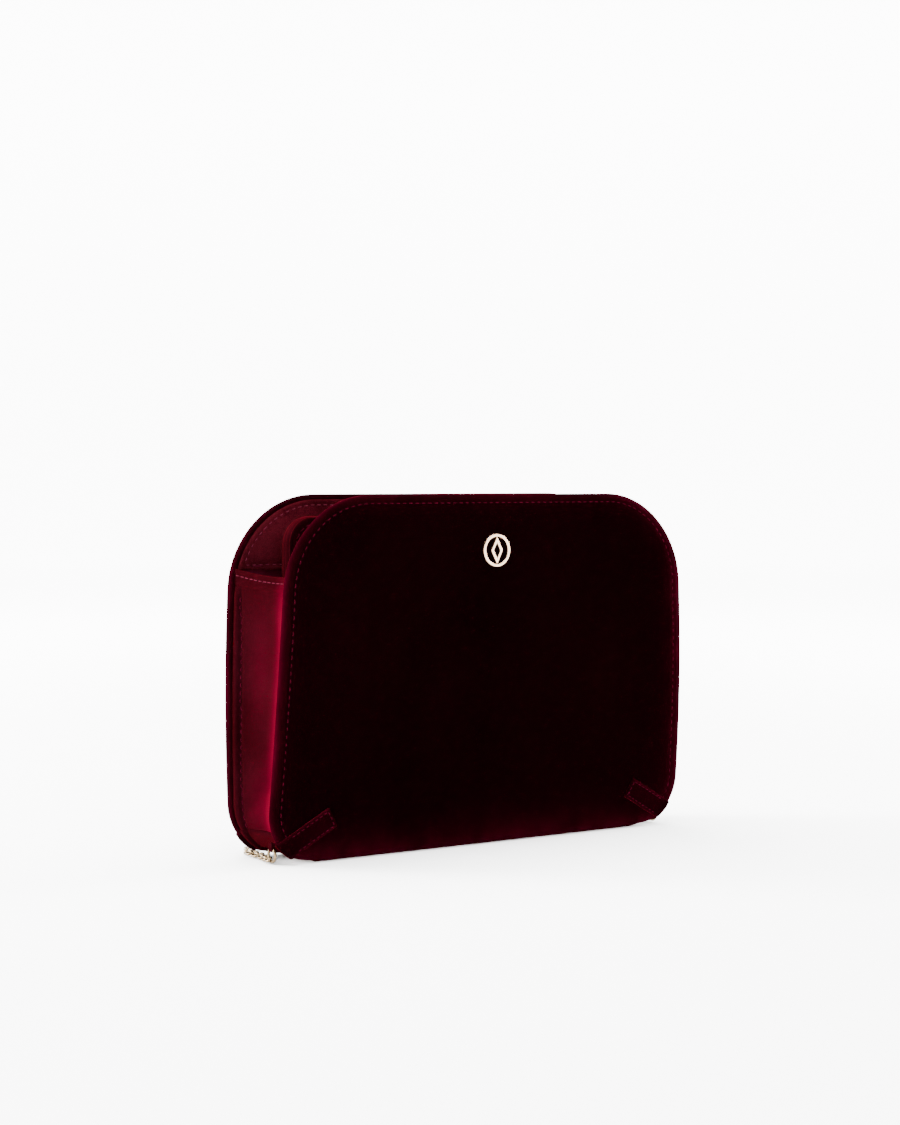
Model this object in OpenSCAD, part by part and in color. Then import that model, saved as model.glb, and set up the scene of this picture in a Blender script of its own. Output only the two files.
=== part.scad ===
// Small velvet makeup bag: two stiffened panels that open like a V on a soft base, leather
// gussets at the ends, a zipped divider between the panels and a fine carrying chain.
// X runs across the bag, the front panel faces -Y, and the base rests on z = 0.

/* [Panels] */
// Width across the foot of the panels, before the corners are rounded
panel_w = 211; // [160:1:260]
// How much narrower the panels are at their top
panel_taper = 12; // [0:1:20]
// Height of a panel along its own face
panel_h = 146; // [115:1:190]
// Radius of the panels' top corners
top_r = 40; // [20:1:50]
// Radius of the panels' lower corners
low_r = 21; // [16:1:28]
// Outside depth of the bag at its foot
foot_d = 30; // [26:1:44]
// Outside depth of the bag at its mouth
mouth_d = 45; // [40:1:70]

/* [Layers] */
// Thickness of the velvet
velvet_t = 1.2; // [0.8:0.1:2]
// Thickness of the stiffening board
board_t = 1.4; // [1:0.1:2]
// Thickness of the lining and of the leather facing
lining_t = 0.6; // [0.4:0.1:1]
// Depth of the leather facing inside the mouth
facing_d = 31; // [20:1:45]
// How far the velvet is turned in round the boards' edge
turn_in = 2; // [1.5:0.1:4]

/* [Gussets] */
// How far the gussets' hemmed top edge lies below the panels' top
gusset_drop = 31; // [20:1:60]
// Thickness of the gusset leather
gusset_t = 1; // [0.6:0.1:1.6]
// How far the gussets lie inside the panels' edge
gusset_in = 1.2; // [1:0.1:3]

/* [Corner tabs] */
// Width of the velvet tab on each lower corner
tab_w = 9; // [6:0.5:12]
// Length of a tab from the corner
tab_l = 25; // [15:1:32]
// Angle of a tab above the horizontal
tab_angle = 29; // [20:1:45]
// Thickness of a tab
tab_t = 0.9; // [0.6:0.1:1.4]

/* [Divider] */
// Width of the divider
divider_w = 175; // [120:1:180]
// How far the divider's top lies below the panels' top
divider_drop = 9; // [8:1:40]
// Radius of the divider's top corners
divider_r = 11; // [6:1:20]
// Thickness of each leaf of the divider
leaf_t = 1; // [0.6:0.1:1.5]
// Depth of the zipped pocket between the leaves
pocket_d = 5; // [5:0.5:7]
// Clearance between the divider and the base
divider_gap = 0.8; // [0.6:0.1:2]
// Width of the slip pocket on the back lining
slip_w = 110; // [60:1:140]
// Height of the slip pocket
slip_h = 66; // [40:1:80]
// Depth of the slip pocket's slot
slip_d = 0.8; // [0.6:0.1:1.5]

/* [Zip] */
// Distance from the divider's rounded corners to the row of teeth
zip_inset = 8.5; // [4:0.5:20]
// Distance from tooth to tooth
tooth_pitch = 2; // [1.6:0.1:3]
// Length of the slider
slider_l = 8; // [7:0.5:10]
// Clearance between the slider and the teeth
zip_gap = 0.2; // [0.15:0.05:0.4]
// Radius of the puller's pin
pin_r = 0.5; // [0.4:0.05:0.7]
// Running clearance of the puller on its pin
pin_gap = 0.06; // [0.02:0.01:0.1]
// Length of the puller from its pin
puller_l = 20; // [12:1:26]

/* [Trim] */
// Outside diameter of the round ornament
emblem_d = 13.6; // [10:0.2:18]
// Width of the ornament's ring and lozenge
emblem_band = 1.5; // [1:0.1:2]
// Thickness of the ornament
emblem_t = 0.8; // [0.5:0.1:0.8]
// Distance of the ornament's centre below the panel's top
emblem_drop = 23; // [23:1:60]
// Diameter of the magnets in the mouth
magnet_d = 10; // [8:0.5:12]
// Distance of the magnets' centre below the panels' top
magnet_drop = 9; // [8:0.5:12]
// Clearance around magnets and posts in the boards
seat_gap = 0.1; // [0.05:0.05:0.3]

/* [Chain] */
// Outside diameter of the chain
chain_d = 3.2; // [2.4:0.1:3.4]
// Radius of the rings that hold the chain, to the middle of the wire
ring_r = 2.5; // [2.2:0.1:2.6]
// Radius of the rings' wire
ring_wire = 0.6; // [0.4:0.05:0.7]

/* [Hidden] */
$fn = 96;

wall_t = velvet_t + board_t + lining_t;
lean = asin((mouth_d - foot_d) / 2 / panel_h);
// the panels' side line: its outward normal across (x) and up (z)
side_l = norm([panel_taper / 2, panel_h]);
side_n = [panel_h, panel_taper / 2] / side_l;
low_c = [panel_w / 2 - low_r * (1 + side_n[1]) / side_n[0], low_r];
top_c = [panel_w / 2 - (top_r + (panel_h - top_r) * side_n[1]) / side_n[0], panel_h - top_r];
// inside half depth at the ground, and how fast it grows with height
in_foot = foot_d / 2 - wall_t / cos(lean);
in_slope = tan(lean);
big = 400;

gusset_h = panel_h - gusset_drop;
emblem_h = panel_h - emblem_drop;
divider_top = panel_h - divider_drop;
leaf_y = pocket_d / 2;
divider_foot = wall_t + divider_gap;
divider_low_r = low_r - 9;
zip_l = divider_w - 2 * (divider_r + zip_inset);
zip_z = divider_top - 0.9;
tooth_w = 0.85;
tooth_in = 0.35;
tooth_tall = 1.8;
tape_t = 0.6;
plate_t = 1;
plate_half = 2.2;
slider_x = zip_l / 2 - 10;
slider_top = zip_z + tooth_tall / 2 + zip_gap + plate_t;
lug_t = 0.8;
eye_half = 1;
eye_r = 1.25;
pin_x = slider_x - slider_l / 2 + eye_r;
pin_z = slider_top + eye_r + zip_gap;
puller_t = 1;
puller_w = 4.4;

post_r = 0.6;
post_x = 4;
post_l = velvet_t + board_t - 0.6;
plate_x = 12;
plate_y = 4;
plate_z = 0.5;

ring_x = low_c[0] + low_r * 0.73;
ring_y = -7.5;
ring_z = ring_r + ring_wire + 0.5;
strap_out = 0.2;

// The chain's route in mm at the sizes above: from the left ring along the ground to the coil
// behind the bag, and from the coil's top turn to the right ring. It widens with the bag.
chain_span = 98.95;
left_route = widened([
    [-99.5, -6.5, 1.9], [-98.2, -2, 1.6], [-96.6, 3.5, 1.6], [-95.9, 9.5, 1.6], [-95.6, 15, 1.6],
    [-93.5, 20.8, 1.6], [-88.5, 25.2, 1.6], [-82, 27.6, 1.6], [-75, 28.6, 1.6], [-66, 28.4, 1.6],
    [-57, 26.5, 1.6], [-48, 24.2, 1.6], [-39, 22.6, 1.6], [-30, 22.3, 1.6]
]);
right_route = widened([
    [-30, 22.3, 4.8], [-23, 22.2, 4.6], [-15, 21.9, 3], [-7, 21.9, 1.7], [2, 22.8, 1.6],
    [11, 24.2, 1.6], [20, 25.2, 1.6], [29, 25, 1.6], [38, 24, 1.6], [47, 23.3, 1.6],
    [56, 23.6, 1.6], [65, 25, 1.6], [74, 26.8, 1.6], [82, 27.4, 1.6], [88.5, 25.2, 1.6],
    [93.5, 20.8, 1.6], [95.6, 15, 1.6], [95.9, 9.5, 1.6], [96.6, 3.5, 1.6], [98.2, -2, 1.6],
    [99.5, -6.5, 1.9]
]);
coil_c = widened([[-30, 46, 0]])[0];
coil_r = 20.5;
coil_turns_wide = 3;
coil_layers = 2;
tube_sides = 8;

// a route moved out with the rings, and back with the back panel
function widened(route) = [for (p = route) [
    p[0] * ring_x / chain_span,
    p[1] + (foot_d / 2 - 15) * min(1, (p[1] + 6.5) / 21.5),
    p[2]
]];

// 2D outline of a panel, drawn inset by a distance all round
module outline(inset = 0) {
    lr = low_r - inset;
    tr = top_r - inset;
    half = [
        [low_c[0], low_c[1] - lr], low_c + lr * side_n, top_c + tr * side_n,
        [top_c[0], top_c[1] + tr]
    ];
    polygon([
        half[0], half[1], half[2], half[3],
        [-half[3][0], half[3][1]], [-half[2][0], half[2][1]],
        [-half[1][0], half[1][1]], [-half[0][0], half[0][1]]
    ]);
    for (s = [-1, 1]) {
        translate([s * low_c[0], low_c[1]]) circle(lr);
        translate([s * top_c[0], top_c[1]]) circle(tr);
    }
}

// puts a layer drawn in the panel's own plane on the front, its outside at z = 0
module on_front() {
    translate([0, -foot_d / 2, 0]) rotate([90 + lean, 0, 0]) children();
}

module on_back() {
    mirror([0, 1, 0]) on_front() children();
}

// a layer of a panel, from one depth below its outer face to another
module layer(from, to, inset = 0, low = -1, high = big) {
    translate([0, 0, -to]) linear_extrude(to - from) intersection() {
        outline(inset);
        translate([-big / 2, low]) square([big, high - low]);
    }
}

// a panel's velvet: the outer face, turned in round the board's edge
module panel_velvet() {
    layer(0, velvet_t);
    translate([0, 0, -wall_t]) linear_extrude(wall_t - velvet_t) difference() {
        outline();
        outline(turn_in);
    }
}

// the room between the two panels
module between_panels() {
    rotate([90, 0, 90]) linear_extrude(big, center = true) polygon([
        [-in_foot, 0], [in_foot, 0],
        [in_foot + panel_h * in_slope, panel_h], [-in_foot - panel_h * in_slope, panel_h]
    ]);
}

// one flat layer of the base, between two heights
module base_layer(from, to) {
    intersection() {
        between_panels();
        translate([-low_c[0], -big / 2, from]) cube([2 * low_c[0], big, to - from]);
    }
}

// a strip that follows the outline across the bag, between two insets
module edge_strip(side, near, far, x_from, x_to, z_to) {
    intersection() {
        between_panels();
        rotate([90, 0, 0]) linear_extrude(big, center = true) intersection() {
            difference() {
                outline(near);
                outline(far);
            }
            mirror([side < 0 ? 1 : 0, 0]) translate([x_from, -1]) square([x_to - x_from, z_to + 1]);
        }
    }
}

module post_bores(r, depth) {
    for (x = [-post_x, post_x])
        translate([x, emblem_h, -depth - 1]) cylinder(r = r, h = depth + 2);
}

module velvet_front() {
    color("#2a0610") on_front() difference() {
        panel_velvet();
        post_bores(post_r + seat_gap, wall_t);
    }
}

module velvet_back() {
    color("#2a0610") on_back() panel_velvet();
}

module velvet_base() {
    color("#2a0610") base_layer(0, velvet_t);
}

module board() {
    difference() {
        layer(velvet_t, velvet_t + board_t, turn_in);
        translate([0, panel_h - magnet_drop, -wall_t - 1])
            cylinder(d = magnet_d + 2 * seat_gap, h = wall_t + 2);
    }
}

module front_board() {
    color("#8a7a68") on_front() difference() {
        board();
        post_bores(post_r + seat_gap, wall_t);
        translate([-plate_x / 2 - seat_gap, emblem_h - plate_y / 2 - seat_gap, -wall_t + lining_t - 1])
            cube([plate_x + 2 * seat_gap, plate_y + 2 * seat_gap, plate_z + seat_gap + 1]);
    }
}

module back_board() {
    color("#8a7a68") on_back() board();
}

module base_board() {
    color("#8a7a68") base_layer(velvet_t, velvet_t + board_t);
}

module panel_lining() {
    layer(velvet_t + board_t, wall_t, turn_in, -1, panel_h - facing_d);
}

module panel_facing() {
    layer(velvet_t + board_t, wall_t, turn_in, panel_h - facing_d, big);
}

module front_lining() {
    color("#3c0a16") on_front() panel_lining();
}

module back_lining() {
    color("#3c0a16") on_back() panel_lining();
}

module base_lining() {
    color("#3c0a16") base_layer(velvet_t + board_t, wall_t);
}

module front_facing() {
    color("#5e0c1e") on_front() panel_facing();
}

module back_facing() {
    color("#5e0c1e") on_back() panel_facing();
}

module gusset(side) {
    color("#6c0e22")
        edge_strip(side, gusset_in, gusset_in + gusset_t, low_c[0], big, gusset_h);
}

module gusset_lining(side) {
    color("#3c0a16") edge_strip(side, gusset_in + gusset_t, wall_t, low_c[0], big, gusset_h);
}

// the part of a corner tab that passes under the bag's corner
module strap(side) {
    reach = [low_r * cos(62), low_r * cos(28)];
    color("#2a0610")
        edge_strip(side, strap_out, gusset_in, low_c[0] + reach[0], low_c[0] + reach[1], low_r);
}

// the stitched end of a corner tab on a panel's outside
module tab(side) {
    root = low_c + low_r * [cos(45), -sin(45)];
    color("#330812") linear_extrude(tab_t) intersection() {
        outline();
        mirror([side < 0 ? 1 : 0, 0]) translate(root) rotate(180 - tab_angle)
            translate([-tab_w, -tab_w / 2]) square([tab_l + tab_w, tab_w]);
    }
}

module ring_wire_shape(extra = 0) {
    translate([0, ring_y, ring_z]) rotate([0, 90, 0])
        rotate_extrude() translate([ring_r, 0]) circle(ring_wire + extra);
}

module ring(side) {
    color("#d9b878") translate([side * ring_x, 0, 0]) ring_wire_shape();
}

// the small leather loop that hangs a ring from the strap
module ring_keeper(side) {
    color("#4a0a18") difference() {
        translate([side * ring_x, ring_y, ring_z + ring_r])
            translate([-1.5, -1.5, -1.3]) cube([3, 3, 5]);
        translate([side * ring_x, 0, 0]) ring_wire_shape(0.05);
        translate([side * low_c[0], 0, low_c[1]]) rotate([90, 0, 0])
            cylinder(r = low_r - strap_out, h = big, center = true);
    }
}

// a tube of chain_d swept along a list of points
function along(route, i) = let (
    a = route[max(i - 1, 0)],
    b = route[min(i + 1, len(route) - 1)]
) (b - a) / norm(b - a);
function ring_points(route, i) = let (
    t = along(route, i),
    across = cross(t, [0, 0, 1]) / norm(cross(t, [0, 0, 1])),
    up = cross(across, t)
) [for (k = [0 : tube_sides - 1]) let (a = 360 * k / tube_sides)
    route[i] + chain_d / 2 * (cos(a) * across + sin(a) * up)];

module tube(route) {
    n = len(route);
    polyhedron(
        points = [for (i = [0 : n - 1]) each ring_points(route, i)],
        faces = concat(
            [[for (k = [tube_sides - 1 : -1 : 0]) k]],
            [for (i = [0 : n - 2], k = [0 : tube_sides - 1]) let (
                a = i * tube_sides + k,
                b = i * tube_sides + (k + 1) % tube_sides
            ) [a, b, b + tube_sides, a + tube_sides]],
            [[for (k = [0 : tube_sides - 1]) (n - 1) * tube_sides + k]]
        )
    );
}

module chain_left() {
    color("#cfae74") tube(left_route);
}

module chain_right() {
    color("#cfae74") tube(right_route);
}

module chain_coil() {
    wide = coil_turns_wide * chain_d;
    color("#cfae74") translate([coil_c[0], coil_c[1], 0])
        rotate_extrude() translate([coil_r - wide / 2, 0]) square([wide, coil_layers * chain_d]);
}

module magnet() {
    color("#8c8f94") translate([0, panel_h - magnet_drop, -velvet_t - board_t])
        cylinder(d = magnet_d, h = board_t);
}

module magnet_front() {
    on_front() magnet();
}

module magnet_back() {
    on_back() magnet();
}

// the ornament: a round frame, and an upright open lozenge that fits inside it
module emblem_ring() {
    color("#d8b06c") on_front() translate([0, emblem_h, 0]) linear_extrude(emblem_t) difference() {
        circle(emblem_d / 2);
        circle(emblem_d / 2 - emblem_band);
    }
}

module emblem_lozenge() {
    tall = emblem_d / 2 - emblem_band;
    wide = tall * 0.52;
    color("#d8b06c") on_front() translate([0, emblem_h, 0]) linear_extrude(emblem_t) intersection() {
        difference() {
            polygon([[0, tall + emblem_band / 3], [wide, 0], [0, -tall - emblem_band / 3], [-wide, 0]]);
            scale(0.58) polygon([[0, tall], [wide, 0], [0, -tall], [-wide, 0]]);
        }
        circle(tall);
    }
}

module emblem_posts() {
    color("#b58d4e") on_front()
        for (x = [-post_x, post_x])
            translate([x, emblem_h, -post_l]) cylinder(r = post_r, h = post_l);
}

module emblem_plate() {
    color("#b58d4e") on_front()
        translate([-plate_x / 2, emblem_h - plate_y / 2, -velvet_t - board_t])
            cube([plate_x, plate_y, plate_z]);
}

module slip_pocket() {
    foot = 20;
    depth = wall_t + slip_d + lining_t;
    color("#4a0c1a") on_back() translate([0, 0, -depth]) difference() {
        translate([-slip_w / 2, foot, 0]) cube([slip_w, slip_h, slip_d + lining_t]);
        translate([-slip_w / 2 + 2, foot + 2, lining_t]) cube([slip_w - 4, slip_h, slip_d + 1]);
    }
}

// 2D shape of the divider in its own plane, inset by a distance
module divider_shape(inset = 0) {
    half = divider_w / 2 - inset;
    corners = [
        [divider_r - inset, divider_top - inset, -1], [divider_low_r - inset, divider_foot + inset, 1]
    ];
    polygon([for (s = [-1, 1], c = s < 0 ? corners : [corners[1], corners[0]]) each
        let (edge = [s * half, c[1] + c[2] * c[0]], flat = [s * (half - c[0]), c[1]])
        (s * c[2] < 0) ? [edge, flat] : [flat, edge]]);
    for (s = [-1, 1], c = corners)
        translate([s * (half - c[0]), c[1] + c[2] * c[0]]) circle(c[0]);
}

module upright(y_from, y_to) {
    translate([0, y_to, 0]) rotate([90, 0, 0]) linear_extrude(y_to - y_from) children();
}

module divider_front_leaf() {
    color("#5a0c1c") upright(-leaf_y - leaf_t, -leaf_y) divider_shape();
}

module divider_back_leaf() {
    color("#5a0c1c") upright(leaf_y, leaf_y + leaf_t) divider_shape();
}

// the strip that closes the pocket round its ends and foot
module divider_band() {
    color("#7c1026") upright(-leaf_y, leaf_y) difference() {
        divider_shape();
        divider_shape(leaf_t);
        translate([-zip_l / 2 - 2, divider_top - 5]) square([zip_l + 4, 10]);
    }
}

module zip_tape(side) {
    y_in = tooth_in + tooth_w;
    color("#2c0610") translate([-zip_l / 2 - 2, side < 0 ? -leaf_y : y_in, zip_z - tape_t / 2])
        cube([zip_l + 4, leaf_y - y_in, tape_t]);
}

// the teeth of one tape, set half a pitch from the other tape's
module zip_teeth(side) {
    count = floor(zip_l / tooth_pitch) - 1;
    first = -zip_l / 2 + tooth_pitch / 2 + (side > 0 ? tooth_pitch / 2 : 0);
    color("#c9a566") for (k = [0 : count - 1])
        translate([
            first + k * tooth_pitch, side < 0 ? -tooth_in - tooth_w : tooth_in,
            zip_z - tooth_tall / 2
        ]) cube([tooth_pitch * 0.55, tooth_w, tooth_tall]);
}

module zip_stops() {
    stop_l = 1.6;
    color("#c9a566") for (s = [-1, 1])
        translate([s * (zip_l / 2 + stop_l / 2 + 0.1) - stop_l / 2, -tooth_in - tooth_w, zip_z - 1])
            cube([stop_l, 2 * (tooth_in + tooth_w), 2]);
}

module zip_slider() {
    low_z = zip_z - tooth_tall / 2 - zip_gap - plate_t;
    neck_half = tooth_in - zip_gap / 2;
    color("#d2ac68") difference() {
        union() {
            for (z = [low_z, slider_top - plate_t])
                translate([slider_x - slider_l / 2, -plate_half, z])
                    cube([slider_l, 2 * plate_half, plate_t]);
            translate([slider_x + slider_l / 2 - 3, -neck_half, low_z])
                cube([2.5, 2 * neck_half, slider_top - low_z]);
            for (s = [-1, 1]) translate([pin_x, s * (eye_half + 0.1 + lug_t / 2), 0]) {
                translate([-eye_r, -lug_t / 2, slider_top - 0.1])
                    cube([2 * eye_r, lug_t, pin_z - slider_top + 0.1]);
                translate([0, lug_t / 2, pin_z]) rotate([90, 0, 0]) cylinder(r = eye_r, h = lug_t);
            }
        }
        translate([pin_x, 3, pin_z]) rotate([90, 0, 0]) cylinder(r = pin_r, h = 6);
    }
}

module puller_pin() {
    pin_l = 2 * (eye_half + 0.1 + lug_t);
    color("#a8864a") translate([pin_x, pin_l / 2, pin_z]) rotate([90, 0, 0])
        cylinder(r = pin_r, h = pin_l);
}

module zip_puller() {
    neck_l = 3;
    color("#d8b474") translate([pin_x, 0, pin_z]) difference() {
        union() {
            translate([0, eye_half, 0]) rotate([90, 0, 0]) cylinder(r = eye_r, h = 2 * eye_half);
            translate([-neck_l, -eye_half, -puller_t / 2]) cube([neck_l, 2 * eye_half, puller_t]);
            translate([-puller_l + puller_w / 2, -puller_w / 2, -puller_t / 2])
                cube([puller_l - puller_w / 2 - neck_l + 0.5, puller_w, puller_t]);
            translate([-puller_l + puller_w / 2, 0, -puller_t / 2])
                cylinder(d = puller_w, h = puller_t);
        }
        translate([0, 3, 0]) rotate([90, 0, 0]) cylinder(r = pin_r + pin_gap, h = 6);
        translate([-puller_l + puller_w / 2, 0, -1]) cylinder(d = puller_w - 2.4, h = 2);
    }
}

velvet_back();
velvet_base();
velvet_front();
back_board();
base_board();
front_board();
back_lining();
base_lining();
front_lining();
back_facing();
front_facing();
gusset(-1);  // gusset_left
gusset(1);  // gusset_right
gusset_lining(-1);  // gusset_lining_left
gusset_lining(1);  // gusset_lining_right
on_front() tab(-1);  // tab_front_left
on_front() tab(1);  // tab_front_right
on_back() tab(-1);  // tab_back_left
on_back() tab(1);  // tab_back_right
strap(-1);  // strap_left
strap(1);  // strap_right
ring(-1);  // ring_left
ring(1);  // ring_right
ring_keeper(-1);  // ring_keeper_left
ring_keeper(1);  // ring_keeper_right
chain_left();
chain_coil();
chain_right();
magnet_front();
magnet_back();
emblem_ring();
emblem_lozenge();
emblem_posts();
emblem_plate();
slip_pocket();
divider_front_leaf();
divider_back_leaf();
divider_band();
zip_tape(-1);  // zip_tape_front
zip_tape(1);  // zip_tape_back
zip_teeth(-1);  // zip_teeth_front
zip_teeth(1);  // zip_teeth_back
zip_stops();
zip_slider();
puller_pin();
zip_puller();
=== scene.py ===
import math

import bmesh
import bpy
import numpy as np
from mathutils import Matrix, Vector


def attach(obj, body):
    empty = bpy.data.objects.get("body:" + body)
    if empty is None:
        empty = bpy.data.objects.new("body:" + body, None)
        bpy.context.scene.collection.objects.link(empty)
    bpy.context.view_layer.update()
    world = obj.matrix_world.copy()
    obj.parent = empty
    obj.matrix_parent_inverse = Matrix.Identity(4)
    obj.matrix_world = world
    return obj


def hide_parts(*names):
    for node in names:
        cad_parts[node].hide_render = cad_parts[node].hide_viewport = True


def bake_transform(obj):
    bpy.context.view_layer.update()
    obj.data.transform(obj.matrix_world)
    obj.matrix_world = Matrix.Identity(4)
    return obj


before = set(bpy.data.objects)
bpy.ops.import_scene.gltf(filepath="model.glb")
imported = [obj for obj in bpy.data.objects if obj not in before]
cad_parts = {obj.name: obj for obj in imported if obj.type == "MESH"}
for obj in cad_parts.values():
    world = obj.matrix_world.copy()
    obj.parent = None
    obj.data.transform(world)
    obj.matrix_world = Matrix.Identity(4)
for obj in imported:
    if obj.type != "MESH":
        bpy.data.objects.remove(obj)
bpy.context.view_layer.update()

mm = 0.001
rng = np.random.default_rng(17)


camera = {
    "place": (-0.5935, -0.8062, 0.1534),
    "turn": 36.06,      # degrees to the right of +Y
    "down": 2.08,
    "lens": 76.3,
}


def makeCamera():
    # looks along a heading turned to the right of +Y, a little downwards
    data = bpy.data.cameras.new("view")
    data.lens = camera["lens"]
    data.clip_start, data.clip_end = 0.01, 50
    cam = bpy.data.objects.new("view", data)
    bpy.context.scene.collection.objects.link(cam)
    turn, down = math.radians(camera["turn"]), math.radians(camera["down"])
    ahead = Vector((math.sin(turn) * math.cos(down), math.cos(turn) * math.cos(down), -math.sin(down)))
    cam.rotation_euler = ahead.to_track_quat("-Z", "Y").to_euler()
    cam.location = camera["place"]
    bpy.context.scene.camera = cam


makeCamera()
print("camera made")


class Sock:
    # a node's output, with the operators that shader maths needs

    def __init__(self, mat, out):
        self.mat, self.out = mat, out

    def math(self, op, other, swap=False):
        return self.mat.node("ShaderNodeMath", {"operation": op}, [other, self] if swap else [self, other])

    def __add__(self, o): return self.math("ADD", o)
    def __radd__(self, o): return self.math("ADD", o, True)
    def __sub__(self, o): return self.math("SUBTRACT", o)
    def __rsub__(self, o): return self.math("SUBTRACT", o, True)
    def __mul__(self, o): return self.math("MULTIPLY", o)
    def __rmul__(self, o): return self.math("MULTIPLY", o, True)


class Mat:
    # a material with one Principled shader and one way to add nodes

    def __init__(self, name, **fixed):
        self.data = bpy.data.materials.new(name)
        self.data.use_nodes = True
        self.tree = self.data.node_tree
        self.shader = self.tree.nodes["Principled BSDF"]
        for key, value in fixed.items():
            self.shader.inputs[key.replace("_", " ")].default_value = value

    def put(self, socket, value):
        # a link, a number or a colour goes onto a socket
        if isinstance(value, Sock):
            self.tree.links.new(value.out, socket)
        elif hasattr(socket.default_value, "__len__") and not hasattr(value, "__len__"):
            socket.default_value = (value,) * len(socket.default_value)
        elif hasattr(value, "__len__") and len(value) == 3 and len(socket.default_value) == 4:
            socket.default_value = (*value, 1)
        else:
            socket.default_value = value

    def node(self, kind, settings=None, values=(), out=0):
        # a node of any type: its settings first, then the values or links of its sockets
        n = self.tree.nodes.new(kind)
        for key, value in (settings or {}).items():
            setattr(n, key, value)
        pairs = values.items() if isinstance(values, dict) else enumerate(values)
        for key, value in pairs:
            self.put(n.inputs[key], value)
        return Sock(self, n.outputs[out])

    def coords(self, scale=(1, 1, 1)):
        # object coordinates, stretched by scale
        source = self.node("ShaderNodeTexCoord", out="Object")
        return self.node("ShaderNodeMapping", None, {"Vector": source, "Scale": scale})

    def noise(self, where, scale, detail=2.0, rough=0.5, distort=0.0):
        return self.node("ShaderNodeTexNoise", None, {
            "Vector": where, "Scale": scale, "Detail": detail, "Roughness": rough, "Distortion": distort})

    def ramp(self, value, low, high):
        # eases from 0 at low to 1 at high
        return self.node("ShaderNodeMapRange", {"interpolation_type": "SMOOTHSTEP"}, {
            "Value": value, "From Min": low, "From Max": high})

    def mix(self, share, a, b):
        # colour a where share is 0, colour b where it is 1
        return self.node("ShaderNodeMix", {"data_type": "RGBA"}, {0: share, 6: a, 7: b}, out=2)

    def bump(self, height, strength, distance):
        return self.node("ShaderNodeBump", None, {
            "Height": height, "Strength": strength, "Distance": distance})

    def set(self, **links):
        # values or links for the shader's own sockets; gives the finished material
        for key, value in links.items():
            self.put(self.shader.inputs[key.replace("_", " ")], value)
        return self.data


def velvetMaterial():
    # near-black pile in soft clouds, a painted sheen of brighter crimson where the attribute asks for it, and
    # a faint sheen
    m = Mat("burgundyVelvet", Sheen_Weight=0.10, Sheen_Roughness=0.20, Sheen_Tint=(1.0, 0.05, 0.10, 1),
            Specular_IOR_Level=0.0)
    where = m.coords()
    streak = m.noise(m.coords((1, 1, 0.18)), 60, 4, 0.6, 0.4)      # pile brushed upwards
    cloud = m.noise(where, 14, 3, 0.55)
    pile = m.noise(where, 2600, 2, 0.6)
    crush = m.noise(where, 320, 3, 0.65)
    tone = m.ramp(streak * 0.3 + cloud * 0.7, 0.25, 0.80)
    base = m.mix(tone, (0.0003, 0.00005, 0.00006), (0.0011, 0.00013, 0.00018))
    base = m.mix(m.ramp(pile, 0.3, 0.8) * 0.5, base, (0.0032, 0.00016, 0.0005))
    # painted sheen: a brighter crimson where the attribute marks the edges, right side, top and foot as
    # catching the light
    brushed = m.node("ShaderNodeAttribute", {"attribute_name": "brushed"}, out="Fac")
    patchy = m.ramp(m.noise(m.coords((1, 1, 0.6)), 75, 4, 0.6), 0.25, 0.75)
    base = m.mix(brushed * (0.30 + 0.70 * patchy), base, (0.030, 0.0003, 0.0040))
    height = pile * 0.6 + crush * 0.4
    return m.set(Base_Color=base, Roughness=0.75 + tone * 0.2,
                 Normal=m.bump(height, 0.55, 0.00025))


def leatherMaterial(name="burgundyLeather", low=(0.0019, 0.00017, 0.00040), high=(0.0050, 0.00048, 0.00105),
                    gloss=0.45, paintedRimSheen=None):
    # fine cells with darker creases, partly the leather's own colour and partly painted shade, over soft
    # clouds of two tones, and a painted sheen of a brighter tone where a sheen colour is given
    m = Mat(name, Specular_IOR_Level=0.0, Sheen_Weight=0.035, Sheen_Roughness=0.5,
            Sheen_Tint=(1.0, 0.03, 0.07, 1))
    where = m.coords()
    grain = m.node("ShaderNodeTexVoronoi", {"feature": "DISTANCE_TO_EDGE"}, {"Vector": where, "Scale": 1500})
    cells = m.ramp(grain, 0.0, 0.22)
    cloud = m.noise(where, 35, 3, 0.55)
    fine = m.noise(where, 900, 3, 0.6)
    tone = m.ramp(cloud * 0.7 + fine * 0.3, 0.35, 0.65)
    base = m.mix(tone, low, high)
    # creases darker: partly the leather's own colour, partly painted shade
    base = m.mix((1 - cells) * 0.5, base, (0.003, 0.0002, 0.0005))
    if paintedRimSheen:
        # painted sheen: the marked places turn a brighter crimson, as if they caught the light
        near = m.node("ShaderNodeAttribute", {"attribute_name": "nearFront"}, out="Fac")
        base = m.mix(near, base, paintedRimSheen)
    return m.set(Base_Color=base, Roughness=gloss + 0.14 * fine + (1 - cells) * 0.12,
                 Normal=m.bump(cells * 0.6 + fine * 0.4, 0.35, 0.00025))


def liningMaterial(name="wovenLining", threads=520):
    # two sets of thread waves that cross, the higher one on top
    m = Mat(name, Specular_IOR_Level=0.0)
    where = m.coords()
    weave = {"Vector": where, "Scale": threads, "Distortion": 0.6}
    warp = m.node("ShaderNodeTexWave", {"bands_direction": "X"}, weave)
    weft = m.node("ShaderNodeTexWave", {"bands_direction": "Z"}, weave)
    cloth = m.node("ShaderNodeMath", {"operation": "MAXIMUM"}, [warp, weft])
    cloud = m.noise(where, 30, 3)
    base = m.mix(m.ramp(cloud, 0.35, 0.65), (0.022, 0.0012, 0.0045), (0.050, 0.0025, 0.010))
    base = m.mix((1 - cloth) * 0.5, base, (0.008, 0.0004, 0.0016))
    return m.set(Base_Color=base, Roughness=0.62 + cloud * 0.2, Normal=m.bump(cloth, 0.35, 0.00015))


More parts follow.
